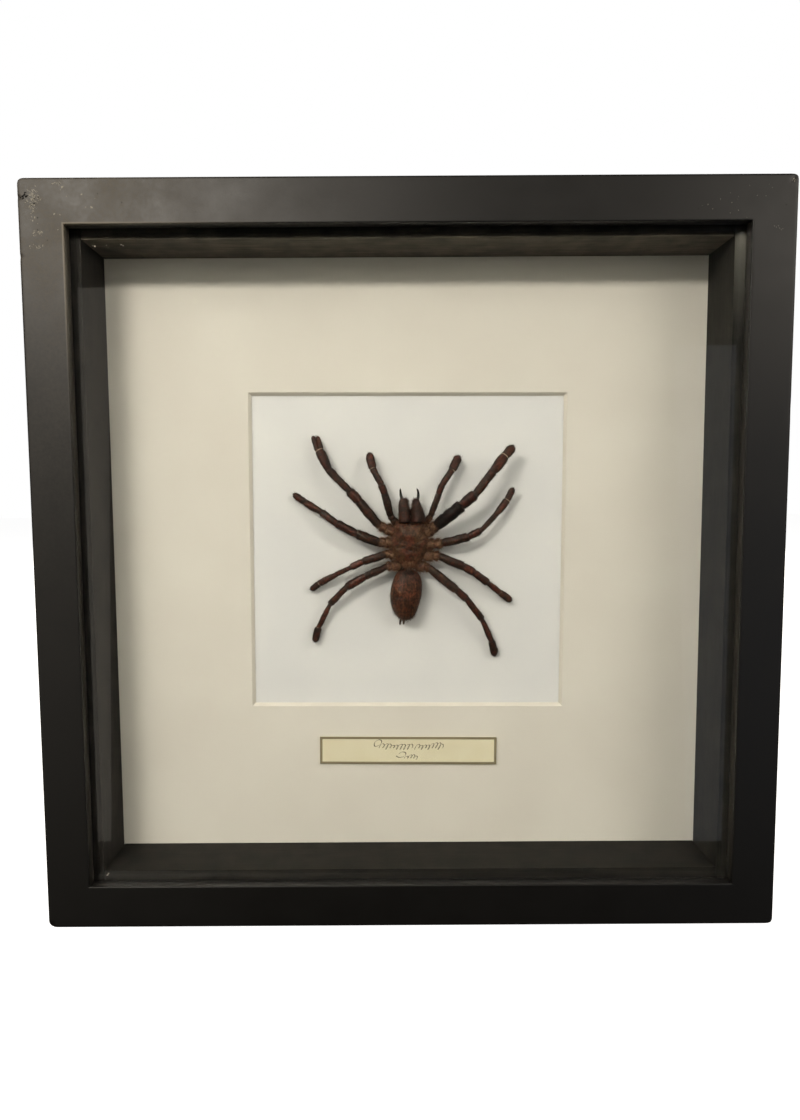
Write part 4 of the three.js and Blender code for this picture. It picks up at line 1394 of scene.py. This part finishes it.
# %% Build the abdomen
# Its outline, from the waist to the tail: z, and the left and the right side's x.
STATIONS_Z = [
    -3.9, -4.4, -5.3, -7.0, -9.6, -12.0, -14.8, -17.2, -19.2, -21.3, -23.4, -25.2, -26.2, -26.8,
]
LEFT_X = [-1.2, -2.7, -4.2, -5.5, -6.6, -7.2, -7.6, -7.65, -7.4, -6.8, -5.7, -4.4, -3.3, -2.4]
RIGHT_X = [0.6, 2.2, 3.8, 5.1, 5.9, 6.1, 6.0, 5.6, 5.0, 4.3, 3.4, 2.3, 0.9, -1.2]
RIBS = (  # low ridges: x, z and how long
    (2.9, -19.7, 2.4), (-4.9, -18.6, 2.0), (-2.2, -19.5, 2.2), (3.4, -10.0, 3.0), (1.9, -22.5, 1.6),
)
SACK_HEIGHT, SACK_HALF, SACK_AROUND, SACK_ROWS = 6.5, 5.1, 72, 96
share = (1 - np.cos(np.linspace(0, math.pi, SACK_ROWS))) / 2
row_z = STATIONS_Z[0] + (STATIONS_Z[-1] - STATIONS_Z[0]) * share
left = flowing([-z for z in STATIONS_Z], LEFT_X, -row_z)
right = flowing([-z for z in STATIONS_Z], RIGHT_X, -row_z)
middle, half = (left + right) / 2, np.maximum((right - left) / 2, 0.03)
full = SACK_HALF * (half / half.max()) ** 0.85
turn = np.linspace(0, 2 * math.pi, SACK_AROUND, endpoint=False)
cos, sin = np.cos(turn), np.sin(turn)
grid = np.stack(np.broadcast_arrays(3.4 * cos[None], 3.4 * sin[None], 0.1 * row_z[:, None]), axis=2)
grid = grid.reshape(-1, 3)
folds = ripple(grid, 1.0, 2.0).reshape(SACK_ROWS, SACK_AROUND)
fine = ripple(grid * [2.2, 2.2, 4.0], 1.0, 5.0).reshape(SACK_ROWS, SACK_AROUND)
swell = 1 + 0.035 * folds + 0.018 * fine
sx = middle[:, None] + half[:, None] * cos * swell
sz = np.broadcast_to(row_z[:, None], sx.shape)
sy = SACK_HEIGHT + full[:, None] * sin * swell
over = sin[None] > 0
knot = bump_at(sx, sz, -4.0, -13.6, 1.3, 1.5)
hollow = bump_at(sx, sz, -4.1, -16.1, 1.7, 0.5)
crease = bump_at(sx, sz, -0.87, -18.3, 0.3, 3.2) + 0.8 * bump_at(sx, sz, 1.4, -16.9, 0.9, 0.8)
ribs = 0.0
for rx, rz, reach in RIBS:
    ribs = ribs + bump_at(sx, sz, rx, rz, 0.28, reach)
neck = bump_at(sx, sz, 0.2, -5.3, 2.4, 0.9)
sy = sy + over * (0.5 * knot - 0.55 * hollow - 0.4 * crease + 0.2 * ribs - 0.8 * neck)
sack = np.stack([sx, sy, sz], axis=2).reshape(-1, 3)
drawn_out = ripple(sack * [1.5, 0.6, 0.22], 1.0, 21.0).reshape(sx.shape)
sack_red = 0.55 + 0.35 * ripple(sack, 3.0, 6.0).reshape(sx.shape) + 0.45 * drawn_out
sack_red = np.clip(sack_red + 0.1 * (sz > -12) - 0.1 * (sz < -19), 0, 1)
sack_pale = np.clip(0.5 * knot + 0.4 * ribs + 0.3 * np.clip(drawn_out, 0, 1), 0, 1) * over
stroke_mark = bump_at(sx, sz, -0.4, -9.2, 0.5, 1.6) + 0.6 * bump_at(sx, sz, 1.2, -8.0, 1.6, 0.4)
front = 0.5 * np.clip((sz + 11.0) / 5.0, 0, 1)
# painted shade: the hollow, the crease and the dip at the waist are painted darker, beside the real dark
# stroke and streaks; the front is darker too
dark_marks_and_shade = 0.8 * stroke_mark + 0.75 * hollow + 0.8 * crease + 0.8 * neck
dark_marks_and_shade = dark_marks_and_shade + 0.6 * np.clip(-drawn_out - 0.1, 0, 1)
sack_pale = sack_pale - 0.1 - front - np.clip(dark_marks_and_shade, 0, 1)
sack_faces = ring_faces(SACK_ROWS, SACK_AROUND)
abdomen = Piece("abdomen_haired")
abdomen.put(to_board(sack), sack_faces, 0, tone=sack_red.ravel(), pale=sack_pale.ravel())
back_flow = np.array([0.0, 0.05, -1.0])
grow(abdomen, sack, sack_faces, back_flow, 7.5, 0.8, 0.18, 1, 0.026, upper_side)
grow(abdomen, sack, sack_faces, back_flow, 0.9, 1.7, 0.35, 1, 0.03, upper_side)


def at_the_tail(centre, normal):
    """Only round the end of the sack."""
    return (centre[:, 2] < -22) * 1.0


grow(abdomen, sack, sack_faces, back_flow, 1.6, 1.6, 0.4, 1, 0.03, at_the_tail)
STALK_ROWS = 18
share = np.linspace(0, 1, STALK_ROWS)
stalk = np.c_[0.5 - 0.4 * share, 6.4 + 0.4 * share, -0.6 - 4.6 * share]
half = 1.7 * flowing([0, 0.5, 1], [1.0, 0.75, 1.0], share)
corners, _, _ = tube(stalk, half, half, 0.06, 3.0)
abdomen.put(to_board(corners), ring_faces(STALK_ROWS, AROUND), 0, tone=0.3, pale=-0.3)
abdomen.make([belly_skin, belly_hair], ["abdomen"])

TAIL_ROWS, TAIL_AROUND = 16, 14
TAIL_SHAPE = ([0, 0.3, 0.5, 0.54, 0.6, 0.9, 1], [0.9, 1.0, 0.9, 0.72, 0.85, 0.6, 0.12])
tail_faces = ring_faces(TAIL_ROWS, TAIL_AROUND)
for side, hip, reach in (("left", (-3.2, -27.0), 2.5), ("right", (-1.65, -27.0), 2.3)):
    share = np.linspace(0, 1, TAIL_ROWS)
    path = np.c_[hip[0] - 0.3 * share, 5.0 - 1.0 * share, hip[1] + 0.6 - (reach + 0.3) * share]
    half = 0.46 * flowing(*TAIL_SHAPE, share)
    corners, _, _ = tube(path, half, half, 0.04, 2.0, TAIL_AROUND)
    spinneret = Piece(f"spinneret_{side}_haired")
    spinneret.put(to_board(corners), tail_faces, 0, tone=0.1)
    grow(spinneret, corners, tail_faces, np.array([0, 0, -1.0]), 9, 0.45, 0.3, 1, 0.02)
    spinneret.make([belly_skin, belly_hair], [f"spinneret_{side}"])

# %% [markdown]
# ## Jaws and fangs
#
# Two heavy jaws stand side by side in front, each a furred wedge that narrows on its inner side and
# carries a curved fang at its outer front corner. Their outlines are drawn separately on the inner and
# the outer side, and a cleft stays between them, with slanting hair at its base that also stands in for
# the shade there.

# %% Build the jaws and the fangs
JAWS = {  # z places, the left and the right side's x, of each jaw
    "left": (
        [15.8, 18, 20, 22, 24.4, 25.8, 26.6], [-4.1, -3.95, -3.9, -3.9, -3.75, -3.3, -2.7],
        [1.05, 1.15, 1.15, 0.8, 0.3, 0.0, -1.1]),
    "right": (
        [15.8, 18, 20, 22, 24.4, 25.6, 26.5], [1.25, 1.3, 1.35, 1.6, 2.05, 2.3, 3.3],
        [7.5, 7.5, 7.1, 6.35, 5.45, 5.05, 4.75]),
}
FANG_LINES = {  # x and z along each fang
    "left": [(-2.35, 26.0), (-2.6, 26.9), (-2.85, 27.9), (-3.02, 29.3), (-3.08, 30.2), (-2.95, 30.9)],
    "right": [(4.35, 25.9), (4.6, 26.8), (4.72, 28.0), (4.62, 29.3), (4.34, 30.2), (3.97, 30.85)],
}
JAW_ROWS, JAW_AROUND, FANG_ROWS, FANG_AROUND = 34, 28, 26, 18
for side, (places, low_x, high_x) in JAWS.items():
    share = np.linspace(0, 1, JAW_ROWS)
    row_z = places[0] + (places[-1] - places[0]) * share
    near, far = flowing(places, low_x, row_z), flowing(places, high_x, row_z)
    path = np.c_[(near + far) / 2, 8.6 - 1.9 * share + 0.5 * np.sin(math.pi * share), row_z]
    half = (far - near) / 2 * rounded_ends(share, 0.06)
    straight = np.c_[np.full(JAW_ROWS, path[:, 0].mean()), path[:, 1], row_z]
    corners, top, aside = tube(straight, half, half * 0.95, 0.05, 8.0 + len(side), JAW_AROUND)
    corners[:, 0] += np.repeat(path[:, 0] - straight[:, 0], JAW_AROUND)
    jaw = Piece(f"chelicera_{side}_haired")
    faces = ring_faces(JAW_ROWS, JAW_AROUND)
    stripe = np.exp(-(((np.abs(aside) - 0.3) / 0.13) ** 2)) * (top > 0)
    furrow = ripple(np.c_[corners[:, 0] * 2.2, corners[:, 1], corners[:, 2] * 0.25], 1.0, 31.0)
    tint = 0.1 * stripe - 0.3 + 0.35 * np.clip(furrow, 0, 1) - 0.9 * np.clip(-furrow - 0.05, 0, 1)
    jaw.put(to_board(corners), faces, 0, tone=0.2 + 0.2 * stripe, pale=tint)
    forward = np.array([0, 0.0, 1.0])
    grow(jaw, corners, faces, forward, 10, 0.9, 0.2, 1, 0.026, upper_side)
    grow(jaw, corners, faces, forward, 1.0, 1.7, 0.3, 1, 0.03, upper_side)
    inward = 1.0 if side == "left" else -1.0

    # the slanting hair in the cleft also stands in for the shade at its base
    def in_the_cleft(centre, normal):
        return (normal[:, 0] * inward > 0.3) * (centre[:, 2] > 19.5) * 1.0

    slanting = np.array([0.75 * inward, 0.0, 0.66])
    grow(jaw, corners, faces, slanting, 9.0, 0.9, 0.3, 1, 0.04, in_the_cleft)
    jaw.make([limb_skin, limb_hair], [f"chelicera_{side}"])

    line = np.array(FANG_LINES[side])
    spots = np.r_[0, np.cumsum(np.hypot(*np.diff(line, axis=0).T))]
    at = np.linspace(0, spots[-1], FANG_ROWS)
    share = at / spots[-1]
    path = np.c_[flowing(spots, line[:, 0], at), 5.9 - 1.5 * share**1.5, flowing(spots, line[:, 1], at)]
    half = 0.62 * flowing([0, 0.25, 0.6, 0.9, 1], [1.0, 1.05, 0.85, 0.45, 0.06], share)
    corners, _, _ = tube(path, half, half, around=FANG_AROUND)
    fang = Piece(f"fang_{side}_polished")
    fang.put(to_board(corners), ring_faces(FANG_ROWS, FANG_AROUND))
    fang.make([horn], [f"fang_{side}"])
